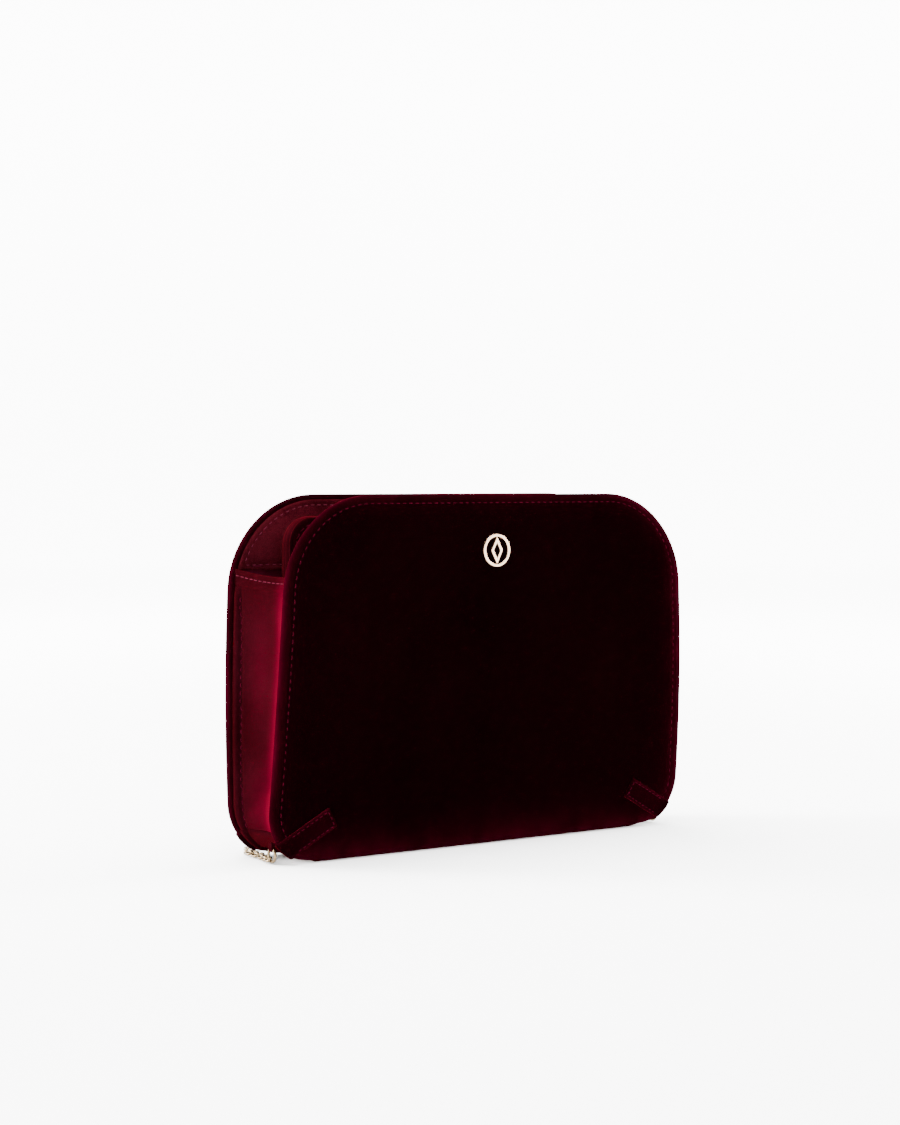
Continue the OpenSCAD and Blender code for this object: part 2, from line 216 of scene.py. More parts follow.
def goldMaterial(name="paleGold", colour=(0.66, 0.45, 0.30), rough=0.16):
    # polished metal, smudged in patches and finely scratched one way
    m = Mat(name, Metallic=1.0)
    where = m.coords()
    smudge = m.noise(where, 220, 4, 0.6)
    scratch = m.noise(m.coords((1, 1, 12)), 900, 2, 0.5)
    base = m.mix(m.ramp(smudge, 0.3, 0.7), colour, tuple(c * 0.86 for c in colour))
    return m.set(Base_Color=base, Roughness=rough + 0.14 * m.ramp(smudge, 0.4, 0.8) + 0.06 * scratch,
                 Normal=m.bump(scratch, 0.08, 0.00005))


def threadMaterial(name="thread", low=(0.011, 0.0004, 0.0022), high=(0.036, 0.0018, 0.0075)):
    # twisted yarn in slanting bands of two tones
    m = Mat(name, Specular_IOR_Level=0.0)
    twist = m.node("ShaderNodeTexWave", {"bands_direction": "DIAGONAL"},
                   {"Vector": m.coords(), "Scale": 1400, "Distortion": 1.0})
    base = m.mix(twist, low, high)
    return m.set(Base_Color=base, Roughness=0.5 + 0.2 * twist, Normal=m.bump(twist, 0.5, 0.0001))


def boardMaterial():
    # pressed fibre in fine flecks of two browns
    m = Mat("fibreBoard", Specular_IOR_Level=0.3)
    fleck = m.noise(m.coords(), 900, 5, 0.7)
    base = m.mix(m.ramp(fleck, 0.35, 0.7), (0.22, 0.16, 0.11), (0.42, 0.33, 0.25))
    return m.set(Base_Color=base, Roughness=0.85 + 0.1 * fleck, Normal=m.bump(fleck, 0.4, 0.0002))


def steelMaterial():
    # plate brushed one way
    m = Mat("magnetPlate", Metallic=1.0)
    brushed = m.noise(m.coords((1, 20, 1)), 500, 3)
    base = m.mix(brushed, (0.50, 0.51, 0.53), (0.66, 0.67, 0.69))
    return m.set(Base_Color=base, Roughness=0.3 + 0.2 * brushed)


velvet = velvetMaterial()
leather = leatherMaterial()
# with a painted sheen colour for its front rim and bulges
gussetLeather = leatherMaterial("gussetLeather", paintedRimSheen=(0.044, 0.0004, 0.0046))
facingLeather = leatherMaterial("facingLeather", (0.012, 0.0010, 0.0019), (0.030, 0.0025, 0.0048), 0.48)
lining = liningMaterial()
tapeCloth = liningMaterial("zipTape", 900)
gold = goldMaterial()
chainGold = goldMaterial("chainGold", (0.165, 0.114, 0.060), 0.20)
zipGold = goldMaterial("zipGold", (0.26, 0.165, 0.085), 0.24)
thread = threadMaterial()
paleThread = threadMaterial("paleThread", (0.034, 0.0035, 0.0085), (0.075, 0.011, 0.022))
board = boardMaterial()
steel = steelMaterial()
print("materials made")


bow = {"across": 0.9, "deep": 3.0, "high": 146.0, "half": 103.0, "footHalf": 15.0, "slope": 0.05144}


def bowed(p):
    # the filled bag's faces and ends swell towards half height (metres in and out)
    p = np.array(p, float).reshape(-1, 3) / mm
    swell = np.sin(np.pi * np.clip(p[:, 2] / bow["high"], 0, 1)) ** 0.9
    p[:, 0] += bow["across"] * swell * (p[:, 0] / bow["half"]) ** 3
    p[:, 1] += bow["deep"] * swell * p[:, 1] / (bow["footHalf"] + bow["slope"] * p[:, 2])
    return p * mm


def addMesh(name, points, faces, material, swell=False):
    # points in metres, faces as one array of corners or several of different lengths
    mesh = bpy.data.meshes.new(name)
    points = np.asarray(bowed(points) if swell else points, np.float32).reshape(-1, 3)
    faces = [np.asarray(f, np.int32) for f in (faces if isinstance(faces, list) else [faces])]
    faces = [f for f in faces if len(f)]
    sizes = np.concatenate([np.full(len(f), f.shape[1]) for f in faces])
    starts = np.concatenate([[0], np.cumsum(sizes)[:-1]]).astype(np.int32)
    mesh.vertices.add(len(points))
    mesh.vertices.foreach_set("co", points.ravel())
    mesh.loops.add(int(sizes.sum()))
    mesh.loops.foreach_set("vertex_index", np.concatenate([f.ravel() for f in faces]))
    mesh.polygons.add(len(sizes))
    mesh.polygons.foreach_set("loop_start", starts)
    mesh.polygons.foreach_set("use_smooth", np.full(len(sizes), True))
    mesh.update(calc_edges=True)
    mesh.validate()
    mesh.materials.append(material)
    piece = bpy.data.objects.new(name, mesh)
    bpy.context.scene.collection.objects.link(piece)
    return piece


def gridFaces(rows, columns, closeRows=False, closeColumns=False, start=0):
    # quads of a grid of rows x columns points, joined round where asked
    r = np.arange(rows if closeRows else rows - 1)[:, None]
    c = np.arange(columns if closeColumns else columns - 1)[None]
    r2, c2 = (r + 1) % rows, (c + 1) % columns
    quads = np.stack([r * columns + c, r * columns + c2, r2 * columns + c2, r2 * columns + c], -1)
    return quads.reshape(-1, 4) + start


def modify(piece, kind, **settings):
    # adds a modifier and applies it
    modifier = piece.modifiers.new(kind.title(), kind)
    for key, value in settings.items():
        setattr(modifier, key, value)
    graph = bpy.context.evaluated_depsgraph_get()
    mesh = bpy.data.meshes.new_from_object(piece.evaluated_get(graph))
    piece.modifiers.clear()
    piece.data = mesh


def settle(piece, body, stands):
    # sets a piece on its body, or, when body is a bend's dict, bakes its placing into its points and leaves
    # it there
    if isinstance(body, dict):
        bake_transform(piece)
    else:
        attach(piece, body)
    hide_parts(*stands)


def softPiece(name, points, faces, material, thick, body, stands, swell=True, mark=None,
              even=False):
    # a surface in mm, thickened on its inner side; mark is an attribute's name and values from 0 to 1
    piece = addMesh(name, points * mm, faces, material, swell)
    if mark:
        kept = piece.data.attributes.new(mark[0], "FLOAT", "POINT")
        kept.data.foreach_set("value", np.clip(mark[1], 0, 1).ravel().astype(np.float32))
    modify(piece, "SOLIDIFY", thickness=thick * mm, offset=-1, use_quality_normals=even)
    settle(piece, body, stands)
    return piece


# The route is the design's own, in mm: ring, ground, coil, ground, ring. The links are in metres.
chain = {
    "diameter": 3.2 * mm,
    "wire": 1.0 * mm,
    "linkLength": 4.75 * mm,
    "linkWidth": 3.3 * mm,
    "slack": 0.10 * mm,
    "coilCentre": (-30, 46),
    "turnRadii": [23.7, 20.5, 17.3],
    "layers": [1.6, 4.8],
    "roll": 45,
    "leftRoute": [
        (-99.5, -6.5, 1.9), (-98.2, -2, 1.6), (-96.6, 3.5, 1.6), (-95.9, 9.5, 1.6), (-95.6, 15, 1.6),
        (-93.5, 20.8, 1.6), (-88.5, 25.2, 1.6), (-82, 27.6, 1.6), (-75, 28.6, 1.6), (-66, 28.4, 1.6),
        (-57, 26.5, 1.6), (-48, 24.2, 1.6), (-39, 22.6, 1.6),
    ],
    "rightRoute": [
        (-23, 22.2, 4.6), (-15, 21.9, 3), (-7, 21.9, 1.7), (2, 22.8, 1.6),
        (11, 24.2, 1.6), (20, 25.2, 1.6), (29, 25, 1.6), (38, 24, 1.6), (47, 23.3, 1.6),
        (56, 23.6, 1.6), (65, 25, 1.6), (74, 26.8, 1.6), (82, 27.4, 1.6), (88.5, 25.2, 1.6),
        (93.5, 20.8, 1.6), (95.6, 15, 1.6), (95.9, 9.5, 1.6), (96.6, 3.5, 1.6), (98.2, -2, 1.6),
        (99.5, -6.5, 1.9),
    ],
}


def coilTurns():
    # turns wound inwards on the ground and outwards on top, each turn's step made in its last eighth
    radii = chain["turnRadii"] + chain["turnRadii"][::-1]
    heights = [chain["layers"][0]] * 3 + [chain["layers"][1]] * 3
    perTurn = 30
    t = np.arange(6 * perTurn + 1) / perTurn
    turn = np.minimum(t.astype(int), 5)
    ease = np.clip((t - turn - 0.80) / 0.2, 0, 1)
    ease = ease * ease * (3 - 2 * ease)
    nxt = np.minimum(turn + 1, 5)
    r = np.array(radii)[turn] * (1 - ease) + np.array(radii)[nxt] * ease
    z = np.array(heights)[turn] * (1 - ease) + np.array(heights)[nxt] * ease
    a = -math.pi / 2 + 2 * math.pi * t
    cx, cy = chain["coilCentre"]
    return np.stack([cx + r * np.cos(a), cy + r * np.sin(a), z], 1)


def smoothPath(points, step):
    # Catmull-Rom curve through the points, then points spaced evenly along it
    p = np.vstack([2 * points[0] - points[1], points, 2 * points[-1] - points[-2]])
    t = np.linspace(0, 1, 12, endpoint=False)[None, :, None]
    a, b, c, d = (p[k:len(p) - 3 + k][:, None] for k in range(4))
    curve = 0.5 * (2 * b + (c - a) * t + (2 * a - 5 * b + 4 * c - d) * t ** 2
                   + (3 * b - a - 3 * c + d) * t ** 3)
    curve = np.vstack([curve.reshape(-1, 3), points[-1]])
    along = np.concatenate([[0], np.cumsum(np.linalg.norm(np.diff(curve, axis=0), axis=1))])
    count = int(along[-1] / step)
    at = np.linspace(0, along[-1], count + 1)
    return np.stack([np.interp(at, along, curve[:, k]) for k in range(3)], 1), along[-1]


def linkShape(around=14, section=6):
    # stadium-shaped loop along x, its round wire in the plane of y, flat in z
    half = (chain["linkLength"] - chain["linkWidth"]) / 2
    r = (chain["linkWidth"] - chain["wire"]) / 2
    a = 2 * np.pi * np.arange(around) / around
    cx = np.sign(np.cos(a)) * half * (np.abs(np.cos(a)) > 1e-9)
    centre = np.stack([cx + r * np.cos(a), r * np.sin(a), 0 * a], 1)
    out = np.stack([np.cos(a), np.sin(a), 0 * a], 1)
    b = 2 * np.pi * np.arange(section) / section
    w = chain["wire"] / 2
    points = centre[:, None] + w * (np.cos(b)[None, :, None] * out[:, None]
                                    + np.sin(b)[None, :, None] * np.array([0, 0, 1.0]))
    return points.reshape(-1, 3), gridFaces(around, section, True, True)


def makeChain():
    # links a pitch apart along the smoothed route, each rolled about it, left and right in turn
    route = np.vstack([chain["leftRoute"], coilTurns(), chain["rightRoute"]]) * mm
    pitch = chain["linkLength"] - 2 * chain["wire"] - chain["slack"]
    path, length = smoothPath(route, pitch / 2)
    n = (len(path) - 1) // 2
    centres = path[1:2 * n:2]
    ahead = path[2:2 * n + 1:2] - path[0:2 * n - 1:2]
    ahead /= np.linalg.norm(ahead, axis=1)[:, None]
    side = np.cross([0, 0, 1.0], ahead)
    side /= np.linalg.norm(side, axis=1)[:, None]
    up = np.cross(ahead, side)
    roll = np.radians(chain["roll"]) * np.where(np.arange(n) % 2, 1, -1) + rng.uniform(-0.14, 0.14, n)
    flat = np.cos(roll)[:, None] * side + np.sin(roll)[:, None] * up
    thin = np.cross(ahead, flat)
    shape, faces = linkShape()
    points = centres[:, None] + shape[None, :, :1] * ahead[:, None] \
        + shape[None, :, 1:2] * flat[:, None] + shape[None, :, 2:] * thin[:, None]
    lift = np.maximum(0.00005 - points[..., 2].min(1), 0)
    points[..., 2] += lift[:, None]
    allFaces = (faces[None] + (np.arange(n) * len(shape))[:, None, None]).reshape(-1, 4)
    piece = addMesh("chain_links", points, allFaces, chainGold)
    settle(piece, "root", ("chain_left", "chain_coil", "chain_right"))
    print("chain", n, "links", round(length, 4), "m")


makeChain()


# Everything below is drawn on the flat pattern (across x, down v) in mm and then folded.
bag = {
    "panelW": 211, "taper": 12, "panelH": 146, "topR": 40, "lowR": 21, "footD": 30, "mouthD": 45,
    "foldR": 4, "wall": 3.2, "footHalf": 82, "filletR": 5,
}
lean = math.asin((bag["mouthD"] - bag["footD"]) / 2 / bag["panelH"])
sideN = np.array([bag["panelH"], bag["taper"] / 2]) / math.hypot(bag["panelH"], bag["taper"] / 2)
lowC = np.array([bag["panelW"] / 2 - bag["lowR"] * (1 + sideN[1]) / sideN[0], bag["lowR"]])
topC = np.array([bag["panelW"] / 2 - (bag["topR"] + (bag["panelH"] - bag["topR"]) * sideN[1]) / sideN[0],
                 bag["panelH"] - bag["topR"]])
upFront = np.array([0, -math.sin(lean), math.cos(lean)])
outFront = np.array([0, -math.cos(lean), -math.sin(lean)])
footFront = np.array([0, -bag["footD"] / 2, 0])
flip = np.array([1, -1, 1])
foldTurn = math.pi / 2 - lean
foldCut = bag["foldR"] * math.tan(foldTurn / 2)
vFold = bag["panelH"] - foldCut
vBase = vFold + bag["foldR"] * foldTurn
vMiddle = vBase + bag["footD"] / 2 - foldCut


def smooth(x):
    # eases from 0 to 1, level at both ends
    x = np.clip(x, 0, 1)
    return x * x * (3 - 2 * x)


def waves(x, y, count=7, scale=0.05, seed=3):
    # a few slow sine waves in random directions, between about -1 and 1
    r = np.random.default_rng(seed)
    total = 0 * x
    for k in range(count):
        a, f = r.uniform(0, 2 * math.pi), scale * r.uniform(0.5, 1.8)
        total = total + np.sin(f * (x * math.cos(a) + y * math.sin(a)) + r.uniform(0, 6.28))
    return total / count ** 0.5


def onPanel(x, s, h=0.0, back=False):
    # point on a panel at height s along it, h mm outside its outer face, in mm
    x, s, h = np.broadcast_arrays(np.asarray(x, float), np.asarray(s, float), np.asarray(h, float))
    p = footFront + s[..., None] * upFront + h[..., None] * outFront + x[..., None] * np.array([1, 0, 0])
    return p * flip if back else p


def folded(x, v, h):
    # down the front panel, round the fold, along the base, and mirrored up the back
    x, v, h = np.broadcast_arrays(x, v, h)
    back = v > vMiddle
    w = np.where(back, 2 * vMiddle - v, v)
    flatPart = onPanel(x, bag["panelH"] - w, h)
    centre = onPanel(0, foldCut, -bag["foldR"])
    a = (w - vFold) / bag["foldR"]
    turned = np.cos(a)[..., None] * outFront + np.sin(a)[..., None] * -upFront
    arc = centre + (bag["foldR"] + h)[..., None] * turned + x[..., None] * np.array([1, 0, 0])
    base = np.stack([x, -bag["footD"] / 2 + foldCut + w - vBase, -h], -1)
    p = np.where((w < vFold)[..., None], flatPart, np.where((w < vBase)[..., None], arc, base))
    return np.where(back[..., None], p * flip, p)


def patternEdge():
    # the velvet's right edge, from the front's top line to the middle of the base: points and outward
    # normals across (x, v)
    high = bag["panelH"]
    topMiddle, lowMiddle = np.array([topC[0], high - topC[1]]), np.array([lowC[0], high - lowC[1]])
    n = sideN * [1, -1]                                   # side normal with v pointing down
    tilt = math.atan2(n[1], n[0])
    a = np.radians(np.linspace(-90, math.degrees(tilt), 34))
    topArc = topMiddle + bag["topR"] * np.stack([np.cos(a), np.sin(a)], 1)
    topOut = np.stack([np.cos(a), np.sin(a)], 1)
    side = np.linspace(topArc[-1], lowMiddle + bag["lowR"] * n, 44)[1:-1]
    filletMiddle = np.array([bag["footHalf"] + bag["filletR"], 0.0])
    apart = bag["lowR"] + bag["filletR"]
    filletMiddle[1] = lowMiddle[1] + math.sqrt(apart ** 2 - (filletMiddle[0] - lowMiddle[0]) ** 2)
    toward = (filletMiddle - lowMiddle) / np.linalg.norm(filletMiddle - lowMiddle)
    endTurn = math.atan2(toward[1], toward[0])
    a = np.linspace(tilt, endTurn, 34)
    lowArc = lowMiddle + bag["lowR"] * np.stack([np.cos(a), np.sin(a)], 1)
    lowOut = np.stack([np.cos(a), np.sin(a)], 1)
    a = np.linspace(endTurn - math.pi, -math.pi, 14)[1:]
    fillet = filletMiddle + bag["filletR"] * np.stack([np.cos(a), np.sin(a)], 1)
    filletOut = -np.stack([np.cos(a), np.sin(a)], 1)
    foot = np.linspace(fillet[-1], [bag["footHalf"], vMiddle], 7)[1:]
    points = np.vstack([topArc, side, lowArc, fillet, foot])
    normals = np.vstack([topOut, np.tile(n, (len(side), 1)), lowOut, filletOut,
                         np.tile([1, 0], (len(foot), 1))])
    return points, normals


def halfWidth(s, inset):
    # half width of the panels' outline at height s, drawn inset all round
    side = (bag["panelW"] / 2 * sideN[0] - s * sideN[1] - inset) / sideN[0]
    lr, tr = bag["lowR"] - inset, bag["topR"] - inset
    low = lowC[0] + np.sqrt(np.clip(lr ** 2 - np.clip(lowC[1] - s, 0, lr) ** 2, 0, None))
    top = topC[0] + np.sqrt(np.clip(tr ** 2 - np.clip(s - topC[1], 0, tr) ** 2, 0, None))
    return np.minimum(side, np.minimum(np.where(s < lowC[1], low, 1e9), np.where(s > topC[1], top, 1e9)))


def softRoll(d, r):
    # how far a rounded edge falls away at a distance d inside it
    t = np.clip(1 - d / r, 0, 1)
    return r * (1 - np.sqrt(1 - t * t))


def orient(points, faces, outward):
    # turns the faces over if most of them look against the outward directions of their first points
    a, b, c = (points[faces[:, k]] for k in range(3))
    n = np.cross(b - a, c - a)
    return faces if (n * outward[faces[:, 0]]).sum() > 0 else faces[:, ::-1]


stitchStyle = {"pitch": 3.1, "length": 1.9, "radius": 0.22, "lift": 0.20, "dip": 0.40}


def stitches(name, lines, body, style=None, material=None, swell=True):
    # small arched threads along 3D lines; a line is (points, outward normals) in mm
    style = {**stitchStyle, **(style or {})}
    u = np.array([-1.0, -0.82, -0.3, 0.3, 0.82, 1.0])
    lift = style["lift"] * (1 - u ** 4) - style["dip"] * u ** 6
    radius = style["radius"] * np.array([0.35, 0.85, 1, 1, 0.85, 0.35])
    a = 2 * np.pi * np.arange(6) / 6
    threads = []
    for points, normals in lines:
        along = np.concatenate([[0], np.cumsum(np.linalg.norm(np.diff(points, axis=0), axis=1))])
        n = max(2, int(round(along[-1] / style["pitch"])))
        at = (np.arange(n) + 0.5) / n * along[-1]
        pick = lambda t, q: np.stack([np.interp(t, along, q[:, k]) for k in range(3)], 1)
        c = pick(at, points)
        t = pick(np.minimum(at + 0.8, along[-1]), points) - pick(np.maximum(at - 0.8, 0), points)
        t /= np.linalg.norm(t, axis=1)[:, None]
        up = pick(at, normals)
        up -= (up * t).sum(1)[:, None] * t
        up /= np.linalg.norm(up, axis=1)[:, None]
        side = np.cross(t, up)
        t = t + rng.normal(0, 0.03, n)[:, None] * side
        half = style["length"] / 2 * (1 + rng.normal(0, 0.03, n))
        rise = lift[:, None] + radius[:, None] * np.cos(a)
        wide = radius[:, None] * np.sin(a)
        p = c[:, None, None] + (half[:, None] * u)[:, :, None, None] * t[:, None, None] \
            + rise[None, ..., None] * up[:, None, None] + wide[None, ..., None] * side[:, None, None]
        threads.append(p.reshape(n, -1, 3))
    threads3 = np.concatenate(threads)
    count, per = threads3.shape[:2]
    tube = gridFaces(6, 6, False, True)[:, ::-1]
    shift = (np.arange(count) * per)[:, None, None]
    caps = np.array([[0, 1, 2, 3, 4, 5], [35, 34, 33, 32, 31, 30]])
    faces = [(tube[None] + shift).reshape(-1, 4), (caps[None] + shift).reshape(-1, 6)]
    piece = addMesh(name, threads3.reshape(-1, 3) * mm, faces, material or thread, swell=swell)
    if isinstance(body, dict):
        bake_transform(piece)
    else:
        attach(piece, body)


# Where a piece was to start and stop bending from the base to the front, in metres; nothing reads these
# points, and no piece is bent.
foldBlend = {"start": (0, -0.00689, 0.00122), "end": (0, -0.01251, 0.0022)}
endBlend = {"start": (0, 0.012, 0), "end": (0, -0.012, 0)}


velvetSet = {
    "rimR": 1.6, "thickness": 0.9, "columns": 60, "turnIn": 4.2,
    "stitchTop": 3.4, "stitchSide": 4.4, "groove": 0.40, "puff": 0.30,
    "crown": 0.6, "crownHalf": 96, "crownMiddle": 72, "crumple": 0.10, "shoulder": 0.7,
    "sheet": (0.217, 0.324),
}
# how much painted sheen lies along each edge, and how many mm inwards that reaches
gleam = {
    "left": 0.12, "rightMore": 0.62, "sideReach": 3.4, "edge": 0.3, "edgeReach": 0.9,
    "top": 0.25, "topReach": 2.5, "foot": 0.55, "footReach": 4.6,
    "tab": 0.07, "tabEdge": 0.45, "tabReach": 0.5,
}


def makeVelvet():
    # a grid over the flat pattern, then rings round its edge that roll over the rim and turn in, all of it
    # folded round the base
    edge, edgeOut = patternEdge()
    # mirrored round the base's middle, then round the whole edge
    right = np.vstack([edge, (edge * [1, -1] + [0, 2 * vMiddle])[-2::-1]])
    rightOut = np.vstack([edgeOut, (edgeOut * [1, -1])[-2::-1]])
    rows = len(right)
    columns = velvetSet["columns"]
    u = np.linspace(-1, 1, columns + 1)
    r = velvetSet["rimR"]
    d = np.concatenate([[8, 7, 6.2], np.arange(5.8, 2.5, -0.3), [2.3, 1.9, 1.6]])
    angle = np.linspace(0, math.pi, 11)[1:]
    inside = [-2.2, -3.2, -velvetSet["turnIn"]]
    off = np.concatenate([-d, -r + r * np.sin(angle), inside])
    drop = np.concatenate([0 * d, -r + r * np.cos(angle), np.full(3, -2 * r)])

    topStitch = velvetSet["stitchTop"]
    v = right[:, 1]
    w = np.minimum(v, 2 * vMiddle - v)
    blendDown = smooth((w - 4) / 40)
    inset = topStitch * (1 - blendDown) + velvetSet["stitchSide"] * blendDown

    # height over the face: the rim's own drop, plus a puff on both sides of a groove under the stitches,
    # less a shoulder that deepens towards the edge
    def surface(e, h, vv, ins):
        dist = -e
        groove = velvetSet["groove"] * np.exp(-((dist - ins) / 0.75) ** 2)
        puff = velvetSet["puff"] * (np.exp(-(dist - ins * 0.48) ** 2)
                                    + 0.8 * np.exp(-((dist - ins - 2.2) / 1.3) ** 2))
        ww = np.minimum(vv, 2 * vMiddle - vv)
        onFace = smooth((dist - 0.9) / 0.9) * (h > -0.01)
        fade = smooth((vFold + 3 - ww) / 16)
        shoulder = velvetSet["shoulder"] * np.clip(1 - dist / 7, 0, 1) ** 2
        return h + onFace * fade * (puff - groove - shoulder)

    # a low dome over each face and a few slow waves
    def crown(x, vv):
        ww = np.minimum(vv, 2 * vMiddle - vv)
        across = np.clip(1 - (x / velvetSet["crownHalf"]) ** 2, 0, 1)
        up = np.clip(1 - ((ww - velvetSet["crownMiddle"]) / velvetSet["crownMiddle"]) ** 2, 0, 1)
        flatTop = smooth(ww / 20) * smooth((vFold - ww) / 20)
        back = np.where(vv > vMiddle, 11.0, 0.0)
        crumple = velvetSet["crumple"] * waves(x + back, vv, 9, 0.11) * flatTop
        return velvetSet["crown"] * across * up + crumple

    # interior: rows joined across from edge to edge, 8 mm inside it
    inner = right - rightOut * d[0]
    gridX = u[None] * inner[:, :1]
    gridV = np.repeat(inner[:, 1:2], columns + 1, 1)
    gridH = crown(gridX, gridV)
    grid = folded(gridX, gridV, gridH)
    faceQuads = gridFaces(rows, columns + 1)

    # the loop round the whole edge: front top line, right side, back top line, left side
    xTop = u[1:-1] * right[0, 0]
    top = np.stack([xTop, 0 * xTop], 1)
    loop = np.vstack([top, right, (top * [-1, 1] + [0, 2 * vMiddle]), (right * [-1, 1])[::-1]])
    loopOut = np.vstack([np.tile([0, -1], (columns - 1, 1)), rightOut,
                         np.tile([0, 1], (columns - 1, 1)), (rightOut * [-1, 1])[::-1]])
    topInset = np.full(columns - 1, topStitch)
    loopInset = np.concatenate([topInset, inset, topInset, inset[::-1]])
    loopCount = len(loop)
    offset = off[:, None]
    ringX = loop[None, :, 0] + offset * loopOut[None, :, 0]
    ringV = loop[None, :, 1] + offset * loopOut[None, :, 1]
    ringH = surface(offset, drop[:, None], ringV, loopInset[None]) \
        + crown(ringX, ringV) * smooth(-offset / 3.0)
    ring = folded(ringX, ringV, ringH)
    # first ring is the grid's own border
    border = np.concatenate([
        np.arange(1, columns), np.arange(rows) * (columns + 1) + columns,
        (rows - 1) * (columns + 1) + np.arange(columns - 1, 0, -1), (np.arange(rows)[::-1]) * (columns + 1)])
    gridCount = rows * (columns + 1)
    ringIndex = np.vstack([border, gridCount + np.arange((len(off) - 1) * loopCount).reshape(-1, loopCount)])
    nextIndex = np.roll(ringIndex, -1, 1)
    ringQuads = np.stack([ringIndex[:-1], nextIndex[:-1], nextIndex[1:], ringIndex[1:]], -1).reshape(-1, 4)
    points = np.vstack([grid.reshape(-1, 3), ring[1:].reshape(-1, 3)])
    # outward: away from the bag's middle plane on the outer faces
    middle = np.array([0, 0, 60.0])
    faceQuads = orient(points, faceQuads, points - middle)
    a = points[ringQuads[:, 0]]
    outerRow = slice(0, loopCount)
    n = np.cross(points[ringQuads[outerRow, 1]] - a[outerRow], points[ringQuads[outerRow, 3]] - a[outerRow])
    if (n * (a[outerRow] - middle)).sum() < 0:
        ringQuads = ringQuads[:, ::-1]
    # how much painted sheen, for light caught along the edges, more on the right, along the top, and where
    # the front turns under
    high = points[:, 2]
    fromSide = halfWidth(np.clip(high, 0, 145.9), 0) - np.abs(points[:, 0])
    fromTop = bag["panelH"] - high
    sidePaintedSheen = gleam["left"] + gleam["rightMore"] * smooth(points[:, 0] / 60)
    inside = np.clip(fromSide, 0, None)
    share = sidePaintedSheen * np.exp(-inside / gleam["sideReach"]) \
        + gleam["edge"] * np.exp(-inside / gleam["edgeReach"]) \
        + gleam["top"] * np.exp(-fromTop / gleam["topReach"]) \
        + gleam["foot"] * np.exp(-high / gleam["footReach"]) * (high > 1.0)
    piece = softPiece("velvet_shell", points, [faceQuads, ringQuads], velvet, velvetSet["thickness"],
                      foldBlend, ("velvet_front", "velvet_base", "velvet_back"),
                      mark=("brushed", share), even=True)

    # stitch lines on the two faces, down to the fold
    def line(mirrorX):
        keep = edge[:, 1] < vFold - 4
        ins = inset[:len(edge)][keep]
        q = edge[keep] - edgeOut[keep] * ins[:, None]
        x, vv = q[:, 0], q[:, 1]
        h = surface(-ins, 0 * x, vv, ins) + crown(x, vv) * smooth(ins / 3)
        return x * mirrorX, vv, h

    lines = {False: [], True: []}
    for back in (False, True):
        xl, vl, hl = line(-1)
        xr, vr, hr = line(1)
        xt = np.linspace(-right[0, 0], right[0, 0], 40)[1:-1]
        vt = np.full(38, topStitch)
        ht = surface(-topStitch, 0 * xt, vt, topStitch) + crown(xt, vt)
        x = np.concatenate([xl[::-1], xt, xr])
        vv = np.concatenate([vl[::-1], vt, vr])
        h = np.concatenate([hl[::-1], ht, hr])
        pts = onPanel(x, bag["panelH"] - vv, h, back)
        nor = np.tile(outFront * (flip if back else 1), (len(x), 1))
        lines[back].append((pts, nor))
    stitches("front_topstitch", lines[False], "front")
    stitches("back_topstitch", lines[True], "root")


makeVelvet()
print("velvet made")


def panelSheet(name, body, back, inset, sLow, sHigh, depth, thick, material, stitchIn=None, wob=0.08,
               stands=(), seam=None):
    # a sheet in a panel's own plane, rolled at its border, its face depth mm inside the outer face
    top = sHigh > topC[1] + 5
    if top:
        tr = bag["topR"] - inset
        arc = topC[1] + tr * np.sin(np.radians(np.linspace(2, 90, 40)))
        base = np.concatenate([sLow + np.array([0, .15, .35, .7, 1.2, 1.9, 2.5, 3.1]),
                               np.arange(sLow + 4, topC[1], 1.6), arc])
        s = np.unique(np.round(np.clip(base, sLow, sHigh), 4))
        s = s[s >= sLow]
    else:
        s = np.unique(np.concatenate([sLow + np.array([0, .15, .35, .7, 1.2, 2]),
                                      np.linspace(sLow + 2.6, sHigh, 60)]))
    xb = halfWidth(s, inset)
    edge = np.array([0, .12, .3, .55, .9, 1.4, 1.9, 2.4, 2.9, 3.4, 4.2])
    u = np.linspace(-1, 1, 45)[1:-1]
    x = np.concatenate([-xb[:, None] + edge, (xb[:, None] - 5.2) * u, xb[:, None] - edge[::-1]], 1)
    height = np.repeat(s[:, None], x.shape[1], 1)
    lowDist = height - sLow
    sideDist = xb[:, None] - np.abs(x)
    cornerDist = np.where((height > topC[1]) & (np.abs(x) > topC[0]),
                          bag["topR"] - inset - np.hypot(height - topC[1], np.abs(x) - topC[0]), 1e9)
    topDist = np.where(np.abs(x) <= topC[0], bag["panelH"] - inset - height, 1e9) if top else 1e9
    rimDist = np.minimum(np.minimum(sideDist, cornerDist), topDist)
    d = np.minimum(lowDist, rimDist)
    h = -softRoll(d, thick)
    if stitchIn:
        h = h - 0.28 * np.exp(-((d - stitchIn) / 0.6) ** 2)
        h = h + 0.12 * np.exp(-((d - stitchIn * 0.45) / 0.7) ** 2)
    h = h + wob * waves(x, height, 7, 0.09, 5) * smooth(d / 3)
    if seam is not None:
        h = h - 0.35 * np.exp(-((x - seam) / 0.35) ** 2)
    face = onPanel(x, height, -depth - h, back)
    points = face.reshape(-1, 3)
    sign = flip if back else 1
    inward = -outFront * sign
    faces = orient(points, gridFaces(*x.shape), np.tile(inward, (len(points), 1)))
    return softPiece(name, points, faces, material, thick * 0.9, body, stands)


insideSet = {
    "inset": 2.1, "facingLow": 115, "stitchIn": 2.4, "facingDepth": 3.55, "facingSheet": (0.194, 0.029),
    "liningLow": 5.5, "liningDepth": 3.15, "liningSheet": (0.205, 0.1117),
    "boardInset": 2.0, "boardDepth": 2.75, "boardThick": 1.5, "seamAt": -88.0,
}


